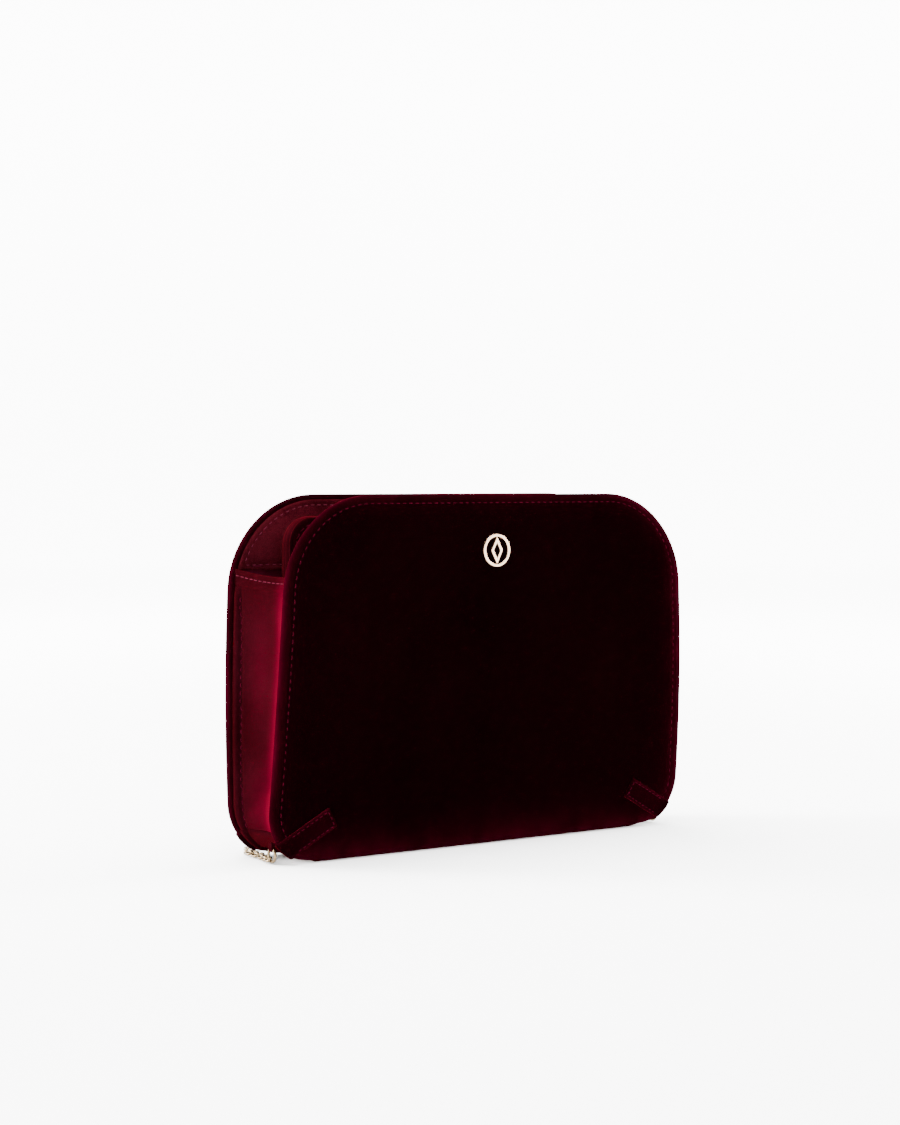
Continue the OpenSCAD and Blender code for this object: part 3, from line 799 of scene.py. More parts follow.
def facingStitch(back):
    # lines a set distance inside the facing's rounded edge and above its foot
    inset, sIn, low = insideSet["inset"], insideSet["stitchIn"], insideSet["facingLow"]
    depth = insideSet["facingDepth"] - 0.2
    inward = -outFront * (flip if back else 1)
    quarter = np.sin(np.radians(np.linspace(2, 90, 30)))
    s = np.concatenate([np.linspace(low + 3, topC[1] + 0.5, 3),
                        topC[1] + (bag["topR"] - inset - sIn) * quarter])
    s = s[s > low + 3]
    x = halfWidth(s, inset + sIn)
    top = np.stack([np.linspace(-x[-1], x[-1], 30), np.full(30, s[-1])], 1)[1:-1]
    line = np.concatenate([np.stack([-x, s], 1), top, np.stack([x, s], 1)[::-1]])
    lowX = halfWidth(np.array([low + sIn]), inset + sIn)[0]
    foot = np.stack([np.linspace(-lowX, lowX, 60), np.full(60, low + sIn)], 1)
    made = []
    for q in (line, foot):
        pts = onPanel(q[:, 0], q[:, 1], -depth, back)
        made.append((pts, np.tile(inward, (len(q), 1))))
    return made


for back, side, body in ((False, "front", "front"), (True, "back", "root")):
    facing = panelSheet(side + "_facing_leather", body, back, insideSet["inset"], insideSet["facingLow"],
                        bag["panelH"] - insideSet["inset"], insideSet["facingDepth"], 0.8, facingLeather,
                        insideSet["stitchIn"], stands=(side + "_facing",), seam=insideSet["seamAt"])
    cloth = panelSheet(side + "_lining_cloth", body, back, insideSet["inset"], insideSet["liningLow"],
                       insideSet["facingLow"] + 2.2, insideSet["liningDepth"], 0.45, lining,
                       stands=(side + "_lining",), wob=0.12)
    stitches(side + "_facing_stitch", facingStitch(back), body, style={"radius": 0.17}, material=paleThread)

for back, side, body in ((False, "front", "front"), (True, "back", "root")):
    panelSheet(side + "_board_sheet", body, back, insideSet["boardInset"], insideSet["liningLow"],
               bag["panelH"] - insideSet["boardInset"], insideSet["boardDepth"], insideSet["boardThick"],
               board, wob=0.0, stands=(side + "_board",))
print("facings made")


gussetSet = {
    "inset": 1.5, "thick": 1.0, "top": 115.0, "hem": 6.0, "sag": 3.2, "topRise": 1.2, "topSag": 0.9,
    "piping": 0.9, "seamIn": 4.6, "stitchDown": 2.5, "into": 0.7, "liningGap": 1.5,
    "hemUp": 0.35, "groove": 0.30, "wobble": 0.16, "dent": 1.3, "dentAt": 26,
    "strapFrom": 28, "strapTo": 62,      # degrees round the low corner
    "strapThick": 0.5, "liningThick": 0.35, "liningTopDown": 1.2, "liningInto": 0.5,
    "sheet": (0.033, 0.134), "liningSheet": (0.033, 0.132),
}


def halfDepth(z):
    # from the middle to the inner face of a panel's wall, at height z
    return bag["footD"] / 2 - bag["wall"] / math.cos(lean) + math.tan(lean) * z


def edgeRoute(inset, top, count=90):
    # the side's line at an inset, from a height down and round the low corner: (x, z), outward (x, z)
    start = np.array([halfWidth(np.array([top]), inset)[0], top])
    sideEnd = lowC + (bag["lowR"] - inset) * sideN
    straight = np.linspace(start, sideEnd, count // 2)
    a0 = math.atan2(sideN[1], sideN[0])
    a = np.linspace(a0, -math.pi / 2, count // 2)[1:]
    arc = lowC + (bag["lowR"] - inset) * np.stack([np.cos(a), np.sin(a)], 1)
    n = np.vstack([np.tile(sideN, (len(straight), 1)), np.stack([np.cos(a), np.sin(a)], 1)])
    return np.vstack([straight, arc]), n


def gussetGrid(inset, top, into, columns=57):
    # rows down the end's line and round the corner, columns from the front to the back panel, pushed inwards
    # by a lopsided hollow that fades towards both ends, with a hem, a piping and a dent
    line, n = edgeRoute(inset, top)
    fine = np.array([0, .15, .35, .6, .9, 1.3, 1.8, 2.2, 2.5, 2.8, 3.3, 4, 5, 5.6, 6, 6.4, 7])
    along = np.concatenate([[0], np.cumsum(np.linalg.norm(np.diff(line, axis=0), axis=1))])
    at = np.unique(np.concatenate([fine, np.linspace(7.5, along[-1], 90)]))
    route = np.stack([np.interp(at, along, line[:, k]) for k in (0, 1)], 1)
    routeOut = np.stack([np.interp(at, along, n[:, k]) for k in (0, 1)], 1)
    w = np.linspace(-1, 1, columns)
    w = np.sign(w) * (1 - (1 - np.abs(w)) ** 1.25)
    z = route[:, 1]
    half = halfDepth(z) + into
    y = half[:, None] * w
    bowl = 1 - (w ** 2)[None]
    z2 = z[:, None] + 0 * y
    q = (1 - w[None]) / 2                                 # 0 at the back panel, 1 at the front one
    hollow = q ** 0.9 * (1 - q) ** 0.45 / 0.423           # 1 where it is deepest
    deep = 0.35 + 0.65 * smooth((112 - z2) / 30) * smooth((z2 + 8) / 40)
    sag = gussetSet["sag"] * hollow * deep
    fromBack = half[:, None] - y
    piping = gussetSet["piping"] * np.exp(-((fromBack - 2.6) / 1.7) ** 2)
    piping = piping - 0.45 * np.exp(-((fromBack - gussetSet["seamIn"]) / 0.55) ** 2)
    piping = piping * smooth((110 - z2) / 6)
    hem = gussetSet["hemUp"] * (1 - smooth((at - gussetSet["hem"] + 0.2) / 0.5))[:, None]
    groove = -gussetSet["groove"] * np.exp(-((at - gussetSet["stitchDown"]) / 0.6) ** 2)[:, None]
    roll = -softRoll(at, 0.5)[:, None]
    wob = gussetSet["wobble"] * waves(y * 2.2, z2, 7, 0.10, 8) * bowl
    dent = -gussetSet["dent"] * np.exp(-((z2 - gussetSet["dentAt"] + 0.9 * y) / 5.0) ** 2) * bowl * q ** 0.3
    off = -sag + hem + groove + roll + wob + piping + dent
    rise = (gussetSet["topRise"] * w[None] - gussetSet["topSag"] * bowl) * smooth((z[:, None] - 40) / 75)
    x = route[:, :1] + routeOut[:, :1] * off
    height = route[:, 1:] + routeOut[:, 1:] * off + rise
    return x, y, height, at, route, routeOut


def makeStrap(side, word, points, route, routeOut):
    # the strip under the bag's corner that holds the chain's ring, lying on the gusset from rim to rim
    a = np.degrees(np.arctan2(lowC[1] - route[:, 1], route[:, 0] - lowC[0]))
    first, last = gussetSet["strapFrom"], gussetSet["strapTo"]
    rows = np.where((a > first) & (a < last))[0]
    near = np.minimum(a[rows] - first, last - a[rows]) / 57.3 * bag["lowR"]
    lift = 0.55 - softRoll(np.clip(near, 0, None), 0.5)
    normal = np.stack([side * routeOut[rows, 0], 0 * near, routeOut[rows, 1]], 1)
    raised = points[rows] + (normal * lift[:, None])[:, None]
    faces = orient(raised.reshape(-1, 3), gridFaces(*raised.shape[:2]), np.repeat(normal, raised.shape[1], 0))
    softPiece("corner_strap_" + word, raised, faces, gussetLeather, gussetSet["strapThick"], endBlend,
              ["strap_" + word])


def makeGusset(side, word):
    # the leather of one end with its stitches, the strap under the corner, and the cloth inside
    x, y, height, at, route, routeOut = gussetGrid(gussetSet["inset"], gussetSet["top"], gussetSet["into"])
    points = np.stack([side * x, y, height], -1)
    out = np.stack([side * (x * 0 + 1), 0 * y, -1.0 * (height < 6)], -1).reshape(-1, 3)
    faces = orient(points.reshape(-1, 3), gridFaces(*x.shape), out)
    fromFront = halfDepth(height) + gussetSet["into"] + y
    # painted highlights: a band along the front rim and soft patches on the low and high bulges
    paintedRimSheen = np.exp(-(np.clip(fromFront - 4, 0, None) / 4.2) ** 2) * smooth((118 - height) / 25)
    lowBulgeHighlight = 0.22 * np.exp(-((height - 24 + 0.5 * y) / 12) ** 2 - ((y + 2) / 8) ** 2)
    highBulgeHighlight = 0.12 * np.exp(-((height - 78) / 22) ** 2 - ((y - 1) / 6) ** 2)
    piece = softPiece("gusset_leather_" + word, points, faces, gussetLeather, gussetSet["thick"], endBlend,
                      ["gusset_" + word], mark=("nearFront", paintedRimSheen + lowBulgeHighlight + highBulgeHighlight))

    row = np.argmin(np.abs(at - gussetSet["stitchDown"]))
    line = points[row][2:-2]
    normal = np.tile([side, 0, 0.04], (len(line), 1)).astype(float)
    stitches("gusset_stitch_" + word, [(line + normal * 0.12, normal)], endBlend,
             style={"pitch": 2.9, "length": 2.0, "radius": 0.17}, material=paleThread)

    fromBack = halfDepth(height[:, -1:]) + gussetSet["into"] - y
    seamCol = np.argmin(np.abs(fromBack - gussetSet["seamIn"]), axis=1)
    seam = points[np.arange(len(at)), seamCol][at > 9][:-6]
    around = np.gradient(seam, axis=0)
    seamNormal = np.cross(around, [0, 1.0, 0])
    seamNormal *= np.sign((seamNormal * (seam - [0, 0, 70])).sum(1))[:, None]
    seamNormal /= np.linalg.norm(seamNormal, axis=1)[:, None]
    stitches("gusset_seam_" + word, [(seam + 0.1 * seamNormal, seamNormal)], endBlend,
             style={"pitch": 3.1, "length": 2.0, "radius": 0.18})

    makeStrap(side, word, points, route, routeOut)
    deeper = gussetSet["inset"] + gussetSet["liningGap"]
    lower = gussetSet["top"] - gussetSet["liningTopDown"]
    x, y, height = gussetGrid(deeper, lower, gussetSet["liningInto"], 41)[:3]
    points = np.stack([side * x, y, height], -1)
    faces = orient(points.reshape(-1, 3), gridFaces(*x.shape), -out[:1].repeat(points[..., 0].size, 0))
    cloth = softPiece("gusset_cloth_" + word, points, faces, lining, gussetSet["liningThick"], endBlend,
                      ["gusset_lining_" + word])


for side, word in ((-1, "left"), (1, "right")):
    makeGusset(side, word)
print("gussets made")


tabSet = {
    "w": 9.0, "l": 25.0, "angle": 29.0, "t": 0.9, "thick": 0.8, "stitchIn": 1.15, "dip": 0.5,
    "wrap": 0.93,        # of a half turn round the rim
}


def makeTab(side, word):
    # the velvet tabs of one end, front and back: a strip on the face that turns in over the rim
    root = lowC + bag["lowR"] * np.array([math.cos(math.pi / 4), -math.sin(math.pi / 4)])
    a = math.radians(180 - tabSet["angle"])
    end = root + tabSet["l"] * np.array([math.cos(a), math.sin(a)])
    down = -np.array([math.cos(a), math.sin(a)])
    perp = np.array([-down[1], down[0]])
    edge = np.array([0, .08, .22, .45, .8, 1.15, 1.5, 1.9, 2.5])
    half = tabSet["w"] / 2
    w = np.concatenate([-half + edge, np.linspace(-half + 2.9, half - 2.9, 5), half - edge[::-1]])
    lift = tabSet["t"] + 0.15
    r = velvetSet["rimR"]
    rimIn = bag["lowR"] - r

    # height over the face at a distance d inside the strip's border: rolled down, with a dip under the thread
    def raised(d):
        return lift - softRoll(d, 0.8) - tabSet["dip"] * 0.6 * np.exp(-((d - tabSet["stitchIn"]) / 0.5) ** 2)

    # where the strip's line meets the circle on which the rim starts to turn
    q0 = end[None] + w[:, None] * perp
    rel = q0 - lowC
    b = rel @ down
    l0 = -b + np.sqrt(b * b - (rel * rel).sum(1) + rimIn ** 2)
    flatL = edge                                          # lengths down the strip near its folded end
    rows = []
    share = np.concatenate([flatL / 22, np.linspace(0.14, 1, 16)])
    dEdge = np.minimum(half - np.abs(w), 9)
    for k, f in enumerate(share):
        l = flatL[k] + 0 * l0 if k < len(flatL) else f * l0
        q = q0 + l[:, None] * down
        rows.append(onPanel(q[:, 0], q[:, 1], raised(np.minimum(dEdge, l))))
    q = q0 + l0[:, None] * down
    n = (q - lowC) / np.linalg.norm(q - lowC, axis=1)[:, None]
    h0 = raised(dEdge)
    for t in np.linspace(0, math.pi * tabSet["wrap"], 14)[1:]:
        rr = r + h0 * (1 - 0.5 * min(1, t / 1.5))
        p = q + n * (rr * math.sin(t))[:, None]
        rows.append(onPanel(p[:, 0], p[:, 1], -r + rr * math.cos(t)))
    front = np.array(rows)
    for part, mirror, body in (("front", 1, "front"), ("back", -1, "root")):
        grid = front * [side, mirror, 1]
        pts = grid.reshape(-1, 3)
        out = np.tile(outFront * [1, mirror, 1], (len(pts), 1)) * (np.arange(len(pts)) < 12 * len(w))[:, None]
        faces = orient(pts, gridFaces(*grid.shape[:2]), out)
        # painted sheen along the tab's edges, as if they caught the light
        edgeGlow = gleam["tab"] + gleam["tabEdge"] * np.exp(-np.tile(dEdge, len(front)) / gleam["tabReach"])
        softPiece("corner_tab_%s_%s" % (part, word), pts, faces, velvet, tabSet["thick"], body,
                  ["tab_%s_%s" % (part, word)], mark=("brushed", edgeGlow))

    # stitched down both long sides and across the folded end
    for part, mirror, body in (("front", 1, "front"), ("back", -1, "root")):
        i = tabSet["stitchIn"]
        track = np.concatenate([
            [end + down * t + perp * (half - i) for t in np.linspace(20, i, 12)],
            [end + down * i + perp * t for t in np.linspace(half - i, -half + i, 8)[1:-1]],
            [end + down * t - perp * (half - i) for t in np.linspace(i, 20, 12)]])
        p = onPanel(track[:, 0], track[:, 1], lift - 0.3) * [side, mirror, 1]
        normals = np.tile(outFront * [1, mirror, 1], (len(p), 1))
        stitches("tab_stitch_%s_%s" % (part, word), [(p, normals)], body,
                 style={"pitch": 2.3, "length": 1.6, "radius": 0.2, "lift": 0.22})


for side, word in ((-1, "left"), (1, "right")):
    makeTab(side, word)
print("tabs made")


dividerSet = {
    "w": 175.0, "top": 137.0, "foot": 4.0, "topR": 11.0, "lowR": 12.0, "leafY": 2.5, "leafT": 1.0,
    "stitchIn": 3.0, "puff": 0.5, "thick": 0.85, "sheet": (0.175, 0.133),
}


def roundedLoop(inset):
    # right half of the divider's outline, from its top middle to its foot middle
    c = dividerSet
    half = c["w"] / 2
    tr, lr = c["topR"] - inset, c["lowR"] - inset
    a = np.radians(np.linspace(90, 0, 20))
    top = np.stack([half - c["topR"] + tr * np.cos(a), c["top"] - c["topR"] + tr * np.sin(a)], 1)
    a = np.radians(np.linspace(0, -90, 20))
    low = np.stack([half - c["lowR"] + lr * np.cos(a), c["foot"] + c["lowR"] + lr * np.sin(a)], 1)
    side = np.linspace(top[-1], low[0], 50)[1:-1]
    return np.vstack([top, side, low])


def makeLeaf(word, sign):
    # a flat leaf, rolled at its edge and padded more with the distance from it, stitched all round
    c = dividerSet
    loop = roundedLoop(0)
    edge = np.array([0, .1, .25, .5, .9, 1.4, 2, 2.4, 2.7, 3.0, 3.3, 3.7, 4.4])
    u = np.linspace(-1, 1, 51)[1:-1]
    xb, z = loop[:, :1], loop[:, 1:]
    x = np.concatenate([-xb + edge, (xb - 5.4) * u, xb - edge[::-1]], 1)
    height = np.repeat(z, x.shape[1], 1)
    half = c["w"] / 2
    r = np.where(height > 70, c["topR"], c["lowR"])
    middleZ = np.where(height > 70, c["top"] - c["topR"], c["foot"] + c["lowR"])
    past = np.where(height > 70, height - middleZ, middleZ - height)
    beyond = np.abs(x) - (half - r)
    corner = r - np.hypot(np.clip(beyond, 0, None), np.clip(past, 0, None))
    d = np.minimum(corner, np.minimum(half - np.abs(x), np.minimum(c["top"] - height, height - c["foot"])))
    h = c["leafT"] - softRoll(d, 0.9) + c["puff"] * smooth((d - 3.2) / 14) \
        - 0.3 * np.exp(-((d - c["stitchIn"]) / 0.6) ** 2) \
        + 0.06 * waves(x, height, 7, 0.08, 11) * smooth(d / 6)
    y = sign * (c["leafY"] + h)
    points = np.stack([x, y, height], -1)
    faces = orient(points.reshape(-1, 3), gridFaces(*x.shape), np.tile([0, sign, 0], (x.size, 1)))
    piece = softPiece("divider_%s_leather" % word, points, faces, leather, dividerSet["thick"], "divider",
                      ["divider_%s_leaf" % word], swell=False)
    line = roundedLoop(c["stitchIn"])
    closed = np.vstack([line, (line * [-1, 1])[::-1], line[:1]])
    along = np.concatenate([[0], np.cumsum(np.linalg.norm(np.diff(closed, axis=0), axis=1))])
    at = np.linspace(0, along[-1], 400)
    pts = np.stack([np.interp(at, along, closed[:, 0]), np.full(400, sign * (c["leafY"] + c["leafT"] - 0.05)),
                    np.interp(at, along, closed[:, 1])], 1)
    stitches("divider_stitch_" + word, [(pts, np.tile([0, sign, 0], (len(pts), 1)).astype(float))], "divider",
             style={"pitch": 3.2, "length": 2.2}, swell=False)


makeLeaf("front", -1)
makeLeaf("back", 1)
print("divider made")


softSet = {
    "baseHalf": 82.6, "baseY": 11.9, "baseTop": 3.3,
    "slipW": 110.0, "slipLow": 20.0, "slipHigh": 86.0, "slipFrom": 3.35, "slipRise": 1.15, "slipHem": 7.0,
    "bandFrom": 70.5, "bandIn": 0.15, "bandY": 2.75, "tapeHalf": 70.0, "tapeY": (1.15, 2.75), "tapeZ": 136.4,
    "ringX": 98.95, "ringY": -7.5, "ringTop": 6.1, "keeperR": 1.0, "keeperW": 3.0, "keeperUp": 2.6,
    "baseSheet": (0.1652, 0.0238), "slipSheet": (0.110, 0.066),
}


def softGrid(name, points, outward, material, thick, body, stands):
    # a soft piece from a grid of points in mm that are already in place
    flatPoints = points.reshape(-1, 3)
    outwards = np.broadcast_to(outward, points.shape).reshape(-1, 3)
    faces = orient(flatPoints, gridFaces(*points.shape[:2]), outwards)
    return softPiece(name, flatPoints, faces, material, thick, body, stands, swell=False)


def edgeSpaced(half, count):
    # places from -half to half, closer together at the ends
    edge = np.array([0, .12, .3, .6, 1.0, 1.6, 2.0, 2.4, 3.0])
    return np.concatenate([-half + edge, np.linspace(-half + 4, half - 4, count), half - edge[::-1]])


def makeBaseLining():
    # a flat sheet with rolled edges and slow waves
    c = softSet
    x, y = edgeSpaced(c["baseHalf"], 60), edgeSpaced(c["baseY"], 9)
    gridX, gridY = np.meshgrid(x, y, indexing="ij")
    d = np.minimum(c["baseHalf"] - np.abs(gridX), c["baseY"] - np.abs(gridY))
    height = c["baseTop"] - softRoll(d, 0.4) + 0.10 * waves(gridX, gridY, 8, 0.12, 21) * smooth(d / 3)
    points = np.stack([gridX, gridY, height], -1)
    piece = softGrid("base_lining_cloth", points, [0, 0, 1], lining, 0.5, "root", ["base_lining"])


def makeSlipPocket():
    # a flat pocket that stands off the lining more with the distance from its sewn sides, hemmed on top
    c = softSet
    half = c["slipW"] / 2
    x = edgeSpaced(half, 50)
    s = np.concatenate([c["slipLow"] + np.array([0, .12, .3, .6, 1.0, 1.6, 2.0, 2.4, 3]),
                        np.linspace(c["slipLow"] + 4, c["slipHigh"] - 9, 40),
                        c["slipHigh"] - np.array([8, 7.3, 7, 6.6, 6, 4, 3, 2.5, 2, 1, .5, .2, 0])])
    gridX, height = np.meshgrid(x, s, indexing="ij")
    d = np.minimum(half - np.abs(gridX), height - c["slipLow"])
    up = c["slipRise"] * smooth(d / 5) + 0.25
    hem = 0.22 * smooth((height - c["slipHigh"] + c["slipHem"]) / 0.4)
    droop = 0.35 * smooth((height - 60) / 26) * (1 - (gridX / half) ** 2)
    h = c["slipFrom"] + up + hem + droop - softRoll(np.minimum(d, c["slipHigh"] - height), 0.35) \
        - 0.2 * np.exp(-((d - 2.0) / 0.5) ** 2) + 0.12 * waves(gridX, height, 7, 0.09, 31) * smooth(d / 6)
    points = bowed(onPanel(gridX, height, -h, True) * mm).reshape(*gridX.shape, 3) / mm
    inward = -outFront * flip
    piece = softGrid("slip_pocket_cloth", points, inward, lining, 0.45, "root", ["slip_pocket"])
    # stitched down three sides, 2 mm in, and once along the hem
    down = np.linspace(c["slipHigh"] - 1, c["slipLow"] + 2, 30)
    foot = np.linspace(-half + 2, half - 2, 50)
    sidesX = np.concatenate([np.full(30, -half + 2), foot, np.full(30, half - 2)])
    sidesS = np.concatenate([down, np.full(50, c["slipLow"] + 2), down[::-1]])
    hemX = np.linspace(-half + 2.5, half - 2.5, 60)
    hemS = np.full(60, c["slipHigh"] - c["slipHem"] + 0.8)
    hemUp = c["slipFrom"] + 0.47 + c["slipRise"] * smooth((half - np.abs(hemX)) / 5) \
        + 0.33 * (1 - (hemX / half) ** 2) * smooth((hemS - 60) / 26)
    lines = []
    for a, b, up in ((sidesX, sidesS, np.full(110, c["slipFrom"] + 0.4)), (hemX, hemS, hemUp)):
        lines.append((onPanel(a, b, -up, True), np.tile(inward, (len(a), 1))))
    stitches("slip_pocket_stitch", lines, "root", style={"radius": 0.16, "length": 1.7, "pitch": 2.6},
             material=paleThread)


def makeDividerBand():
    # a strip carried round the divider's outline, domed across with a shallow groove in its middle
    c = softSet
    half = roundedLoop(c["bandIn"])
    half = half[half[:, 0] > 0]
    start = [[x, dividerSet["top"] - c["bandIn"]] for x in (c["bandFrom"], 74)]
    half = np.vstack([start, half])
    foot = np.stack([np.linspace(half[-1, 0], -half[-1, 0], 50), np.full(50, half[-1, 1])], 1)[1:-1]
    line = np.vstack([half, foot, (half * [-1, 1])[::-1]])
    t = np.gradient(line, axis=0)
    n = np.stack([t[:, 1], -t[:, 0]], 1) / np.linalg.norm(t, axis=1)[:, None]
    n *= np.sign((n * (line - [0, 70])).sum(1).mean())
    y = np.linspace(-1, 1, 13)
    puff = 0.45 * (1 - y ** 2) - 0.15 * np.exp(-(y / 0.12) ** 2)
    gridX = line[:, :1] + n[:, :1] * puff
    gridZ = line[:, 1:] + n[:, 1:] * puff
    points = np.stack([gridX, c["bandY"] * y[None] + 0 * gridX, gridZ], -1)
    out = np.stack([n[:, :1] + 0 * gridX, 0 * gridX, n[:, 1:] + 0 * gridX], -1)
    softGrid("divider_band_leather", points, out, leather, 0.8, "divider", ["divider_band"])


def makeZipTapes():
    # two strips beside the teeth, each with a bead along its inner edge
    c = softSet
    x = edgeSpaced(c["tapeHalf"], 120)
    for word, sign in (("front", -1), ("back", 1)):
        y = np.linspace(c["tapeY"][0], c["tapeY"][1], 9)
        gridX, gridY = np.meshgrid(x, y, indexing="ij")
        bead = 0.10 * np.exp(-((gridY - c["tapeY"][0]) / 0.25) ** 2)
        gridZ = c["tapeZ"] + 0.05 * waves(gridX, gridY, 5, 0.15, 41) + bead
        points = np.stack([gridX, sign * gridY, gridZ], -1)
        softGrid("zip_tape_%s_cloth" % word, points, [0, 0, 1], tapeCloth, 0.5, "divider",
                 ["zip_tape_" + word])


def makeKeepers():
    # a leather loop round each ring: legs that lean together, a half circle below, rolled edges
    c = softSet
    r = c["keeperR"]
    a = np.linspace(0, math.pi, 13)
    leg = np.linspace(c["keeperUp"], 0, 6)[:-1]
    path = np.concatenate([np.stack([np.full(5, -r) + 0.12 * leg, leg], 1),
                           np.stack([-r * np.cos(a), -r * np.sin(a)], 1),
                           np.stack([np.full(5, r) - 0.12 * leg[::-1], leg[::-1]], 1)])
    t = np.gradient(path, axis=0)
    n = np.stack([t[:, 1], -t[:, 0]], 1) / np.linalg.norm(t, axis=1)[:, None]
    y = np.linspace(-1, 1, 9) * c["keeperW"] / 2
    roll = softRoll(c["keeperW"] / 2 - np.abs(y), 0.25)
    for side, word in ((-1, "left"), (1, "right")):
        gridX = side * c["ringX"] + path[:, :1] - n[:, :1] * roll
        gridZ = c["ringTop"] + path[:, 1:] - n[:, 1:] * roll
        points = np.stack([gridX, c["ringY"] + y[None] + 0 * gridX, gridZ], -1)
        out = np.stack([n[:, :1] + 0 * gridX, 0 * gridX, n[:, 1:] + 0 * gridX], -1)
        softGrid("ring_loop_" + word, points, out, leather, 0.35, "root", ["ring_keeper_" + word])


makeBaseLining()
makeSlipPocket()
makeDividerBand()
makeZipTapes()
makeKeepers()
print("small soft parts made")


emblemSet = {
    "outer": 6.8, "band": 1.2, "t": 0.8, "up": 123.0, "round": 0.32,
    "clear": 0.5,        # further out than its solid, so that the pile doesn't cover it
    "lozenge": 0.52,     # its width by its height
    "open": 0.58,        # its opening by its outside
}


def bandLoop(outer, inner, t, rnd):
    # a closed band between two matching loops in its own plane, its corners rounded: points, faces
    prof = []
    for cx, a0 in ((1, 0), (0, 90)):
        for a in np.radians(np.linspace(a0, a0 + 90, 6)):
            prof.append((cx, math.cos(a), math.sin(a)))
    rings = []
    away = outer - inner
    wide = np.linalg.norm(away, axis=1)[:, None]
    away = away / wide
    for cx, ca, sa in prof:
        base = outer - away * rnd if cx else inner + away * rnd
        height = np.full((len(outer), 1), t - rnd + rnd * sa)
        rings.append(np.concatenate([base + away * rnd * ca, height], 1))
    rings.append(np.concatenate([inner, 0 * wide], 1))
    rings.append(np.concatenate([outer, 0 * wide], 1))
    grid = np.array(rings)
    return grid, gridFaces(len(rings), len(outer), True, True)


def emblemPiece(name, outer, inner, stands):
    # a band that stands on the front's face at the ornament's height
    grid, faces = bandLoop(outer, inner, emblemSet["t"] + emblemSet["clear"], emblemSet["round"])
    flat = grid.reshape(-1, 3)
    p = onPanel(flat[:, 0], emblemSet["up"] + flat[:, 1], flat[:, 2])
    a, b, c = (p[faces[:, k]] for k in range(3))
    volume = (a * np.cross(b, c)).sum()
    if volume < 0:
        faces = faces[:, ::-1]
    piece = addMesh(name, p * mm, faces, gold, swell=True)
    modify(piece, "EDGE_SPLIT", split_angle=math.radians(50))
    settle(piece, "front", [stands])


def polygonLoop(corners, count, rnd):
    # a polygon's edge with its corners rounded, walked evenly
    c = np.array(corners, float)
    pts = []
    for k in range(len(c)):
        prev, here, nxt = c[k - 1], c[k], c[(k + 1) % len(c)]
        a = here + (prev - here) / np.linalg.norm(prev - here) * rnd
        b = here + (nxt - here) / np.linalg.norm(nxt - here) * rnd
        t = np.linspace(0, 1, 8)[:, None]
        pts.append((1 - t) ** 2 * a + 2 * t * (1 - t) * here + t ** 2 * b)
        far = nxt + (here - nxt) / np.linalg.norm(nxt - here) * rnd
        pts.append(b + (far - b) * np.linspace(0, 1, count)[1:-1, None])
    return np.vstack(pts)


def makeEmblem():
    # a round frame with an upright open lozenge inside it
    a = np.linspace(0, 2 * np.pi, 97)[:-1]
    circle = np.stack([np.cos(a), np.sin(a)], 1)
    tall = emblemSet["outer"] - emblemSet["band"]
    emblemPiece("emblem_round_frame", circle * emblemSet["outer"], circle * tall, "emblem_ring")
    wide = tall * emblemSet["lozenge"]
    outer = polygonLoop([(0, tall + 0.1), (wide, 0), (0, -tall - 0.1), (-wide, 0)], 8, 0.5)
    emblemPiece("emblem_open_lozenge", outer, outer * emblemSet["open"], "emblem_lozenge")


makeEmblem()
print("emblem made")


finishes = [
    (board, ["base_board"]),
    (gold, ["emblem_posts", "emblem_plate"]),
    (chainGold, ["ring_left", "ring_right"]),
    (zipGold, ["zip_teeth_front", "zip_teeth_back", "puller_pin"]),
    (steel, ["magnet_front", "magnet_back"]),
]


rounded = {
    # part: edge radius in mm, body
    "zip_slider": (0.22, "slider"),
    "zip_puller": (0.22, "puller"),
    "zip_stops": (0.2, "divider"),
}


def roundedCopy(name, radius, body):
    # the part's own shape, joined up, with its edges rounded
    node = bpy.data.objects[name]
    shape = bmesh.new()
    shape.from_mesh(node.data)
    shape.transform(node.matrix_world)
    bmesh.ops.remove_doubles(shape, verts=shape.verts, dist=0.002 * mm)
    bmesh.ops.recalc_face_normals(shape, faces=shape.faces)
    mesh = bpy.data.meshes.new(name + "_metal")
    shape.to_mesh(mesh)
    shape.free()
    mesh.materials.clear()
    mesh.materials.append(zipGold)
    piece = bpy.data.objects.new(name + "_metal", mesh)
    bpy.context.scene.collection.objects.link(piece)
    modify(piece, "BEVEL", width=radius * mm, segments=2, limit_method="ANGLE", angle_limit=0.7)
    settle(piece, body, [name])


def paintNodes():
    # finishes for the parts that show as they are, and rounded copies of the small zip parts
    for material, names in finishes:
        for name in names:
            node = bpy.data.objects[name]
            node.data.materials.clear()
            node.data.materials.append(material)
    for name, (radius, body) in rounded.items():
        roundedCopy(name, radius, body)


paintNodes()
print("parts painted")


studio = {
    "world": 0.12, "glow": 6.0, "glowFrom": 0.35, "glowTo": 1.6, "glowBehind": 0.35,
    "wallAt": 4.5, "wallHigh": 3.0, "wallTurn": 1.0,
    "lamps": [
        # name, place, aim, size, watts, colour
        ("topSoftbox", (-0.1, 0.25, 1.6), (0, 0.1, 0.0), (1.8, 1.8), 200, (1, 1, 1)),
        ("leftSoftbox", (-1.05, 1.0, 0.5), (-0.08, 0, 0.07), (0.5, 0.8), 110, (1, 0.99, 0.98)),
        ("rightSoftbox", (1.3, -0.1, 0.5), (0.05, 0, 0.07), (0.5, 0.8), 60, (1, 1, 1)),
    ],
}


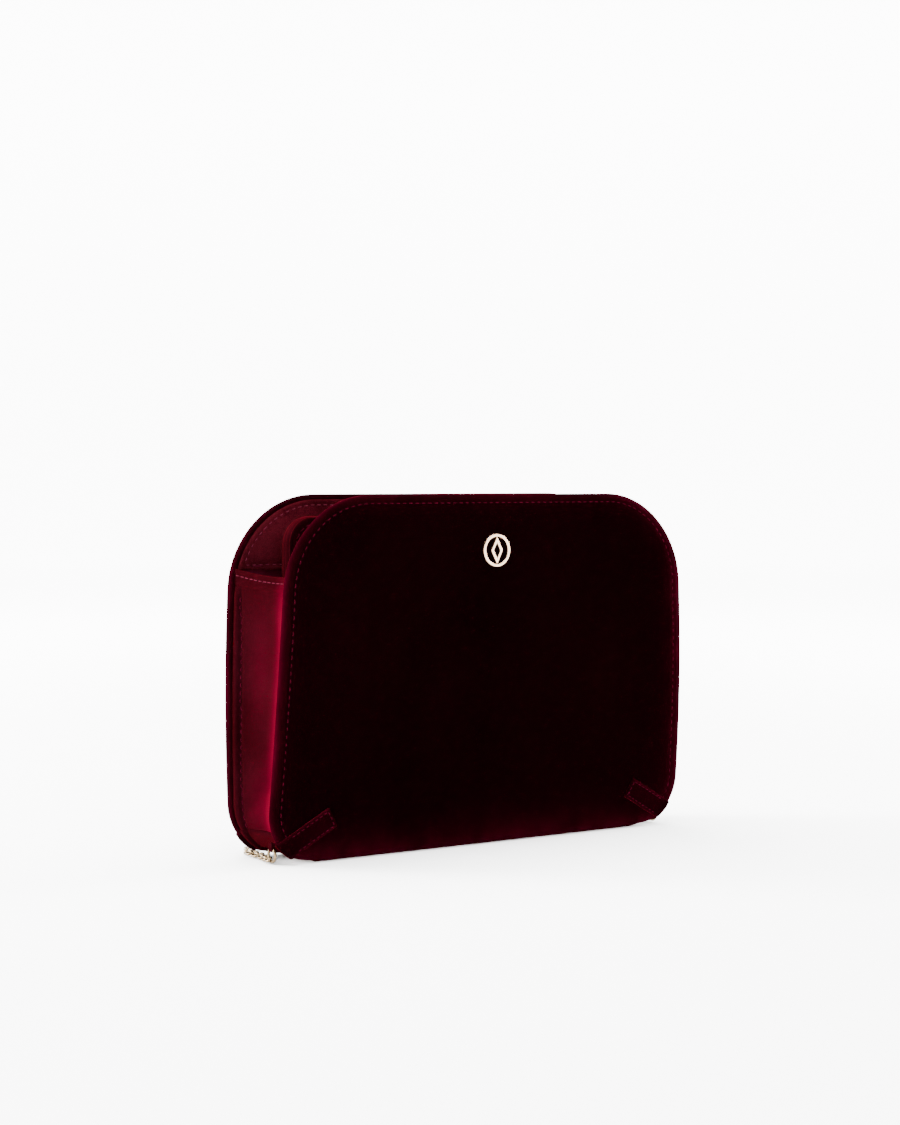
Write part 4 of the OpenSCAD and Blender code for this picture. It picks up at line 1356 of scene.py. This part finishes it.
def floorMaterial():
    # pale and matt near the bag, glowing further out and less on the camera's side, so that floor and wall
    # run together unseen
    m = Mat("paleFloor", Specular_IOR_Level=0.0)
    where = m.node("ShaderNodeTexCoord", out="Object")
    away = m.node("ShaderNodeVectorMath", {"operation": "LENGTH"}, [where], out="Value")
    far = m.ramp(away, studio["glowFrom"], studio["glowTo"])
    turn = math.radians(camera["turn"])
    ahead = m.node("ShaderNodeVectorMath", {"operation": "DOT_PRODUCT"},
                   [where, (math.sin(turn), math.cos(turn), 0)], out="Value")
    behind = studio["glowBehind"] + (1 - studio["glowBehind"]) * m.ramp(ahead, -1.6, 0.4)
    cloud = m.noise(where, 2.0, 2)
    m.shader.inputs["Emission Strength"].default_value = studio["glow"]
    return m.set(Base_Color=m.mix(cloud, (0.93, 0.93, 0.93), (0.95, 0.95, 0.95)), Roughness=0.8 + 0.1 * cloud,
                 Emission_Color=m.mix(far * behind, (0, 0, 0), (1, 1, 1)))


def makeStudio():
    # floor and wall in one round curved sheet, centred on the bag
    wall, turn = studio["wallAt"], studio["wallTurn"]
    a = np.linspace(0, math.pi / 2, 12)
    r = np.concatenate([np.linspace(0.02, wall - turn, 24), wall - turn + turn * np.sin(a[1:]),
                        np.full(5, wall)])
    z = np.concatenate([np.zeros(24), turn - turn * np.cos(a[1:]),
                        np.linspace(turn, studio["wallHigh"], 6)[1:]])
    angle = 2 * np.pi * np.arange(72) / 72
    points = np.stack([r[:, None] * np.cos(angle), r[:, None] * np.sin(angle), z[:, None] + 0 * angle], -1)
    points = np.vstack([points.reshape(-1, 3), [0, 0, 0]])
    upwards = np.tile([0, 0, 1.0], (len(points), 1))
    faces = orient(points, gridFaces(len(r), 72, False, True), upwards - points * [0.1, 0.1, 0])
    middle = np.stack([np.arange(72), (np.arange(72) + 1) % 72, np.full(72, len(points) - 1)], 1)
    floor = addMesh("floor", points, [faces, orient(points, middle, upwards)], floorMaterial())
    for name, place, aim, size, watts, colour in studio["lamps"]:
        data = bpy.data.lights.new(name, "AREA")
        data.shape, data.size, data.size_y = "RECTANGLE", size[0], size[1]
        data.energy, data.color = watts, colour
        lamp = bpy.data.objects.new(name, data)
        lamp.location = place
        lamp.rotation_euler = (Vector(aim) - Vector(place)).to_track_quat("-Z", "Y").to_euler()
        bpy.context.scene.collection.objects.link(lamp)
    world = bpy.data.worlds.new("studio")
    world.use_nodes = True
    world.node_tree.nodes["Background"].inputs["Color"].default_value = (1, 1, 1, 1)
    world.node_tree.nodes["Background"].inputs["Strength"].default_value = studio["world"]
    bpy.context.scene.world = world


makeStudio()
print("studio made")
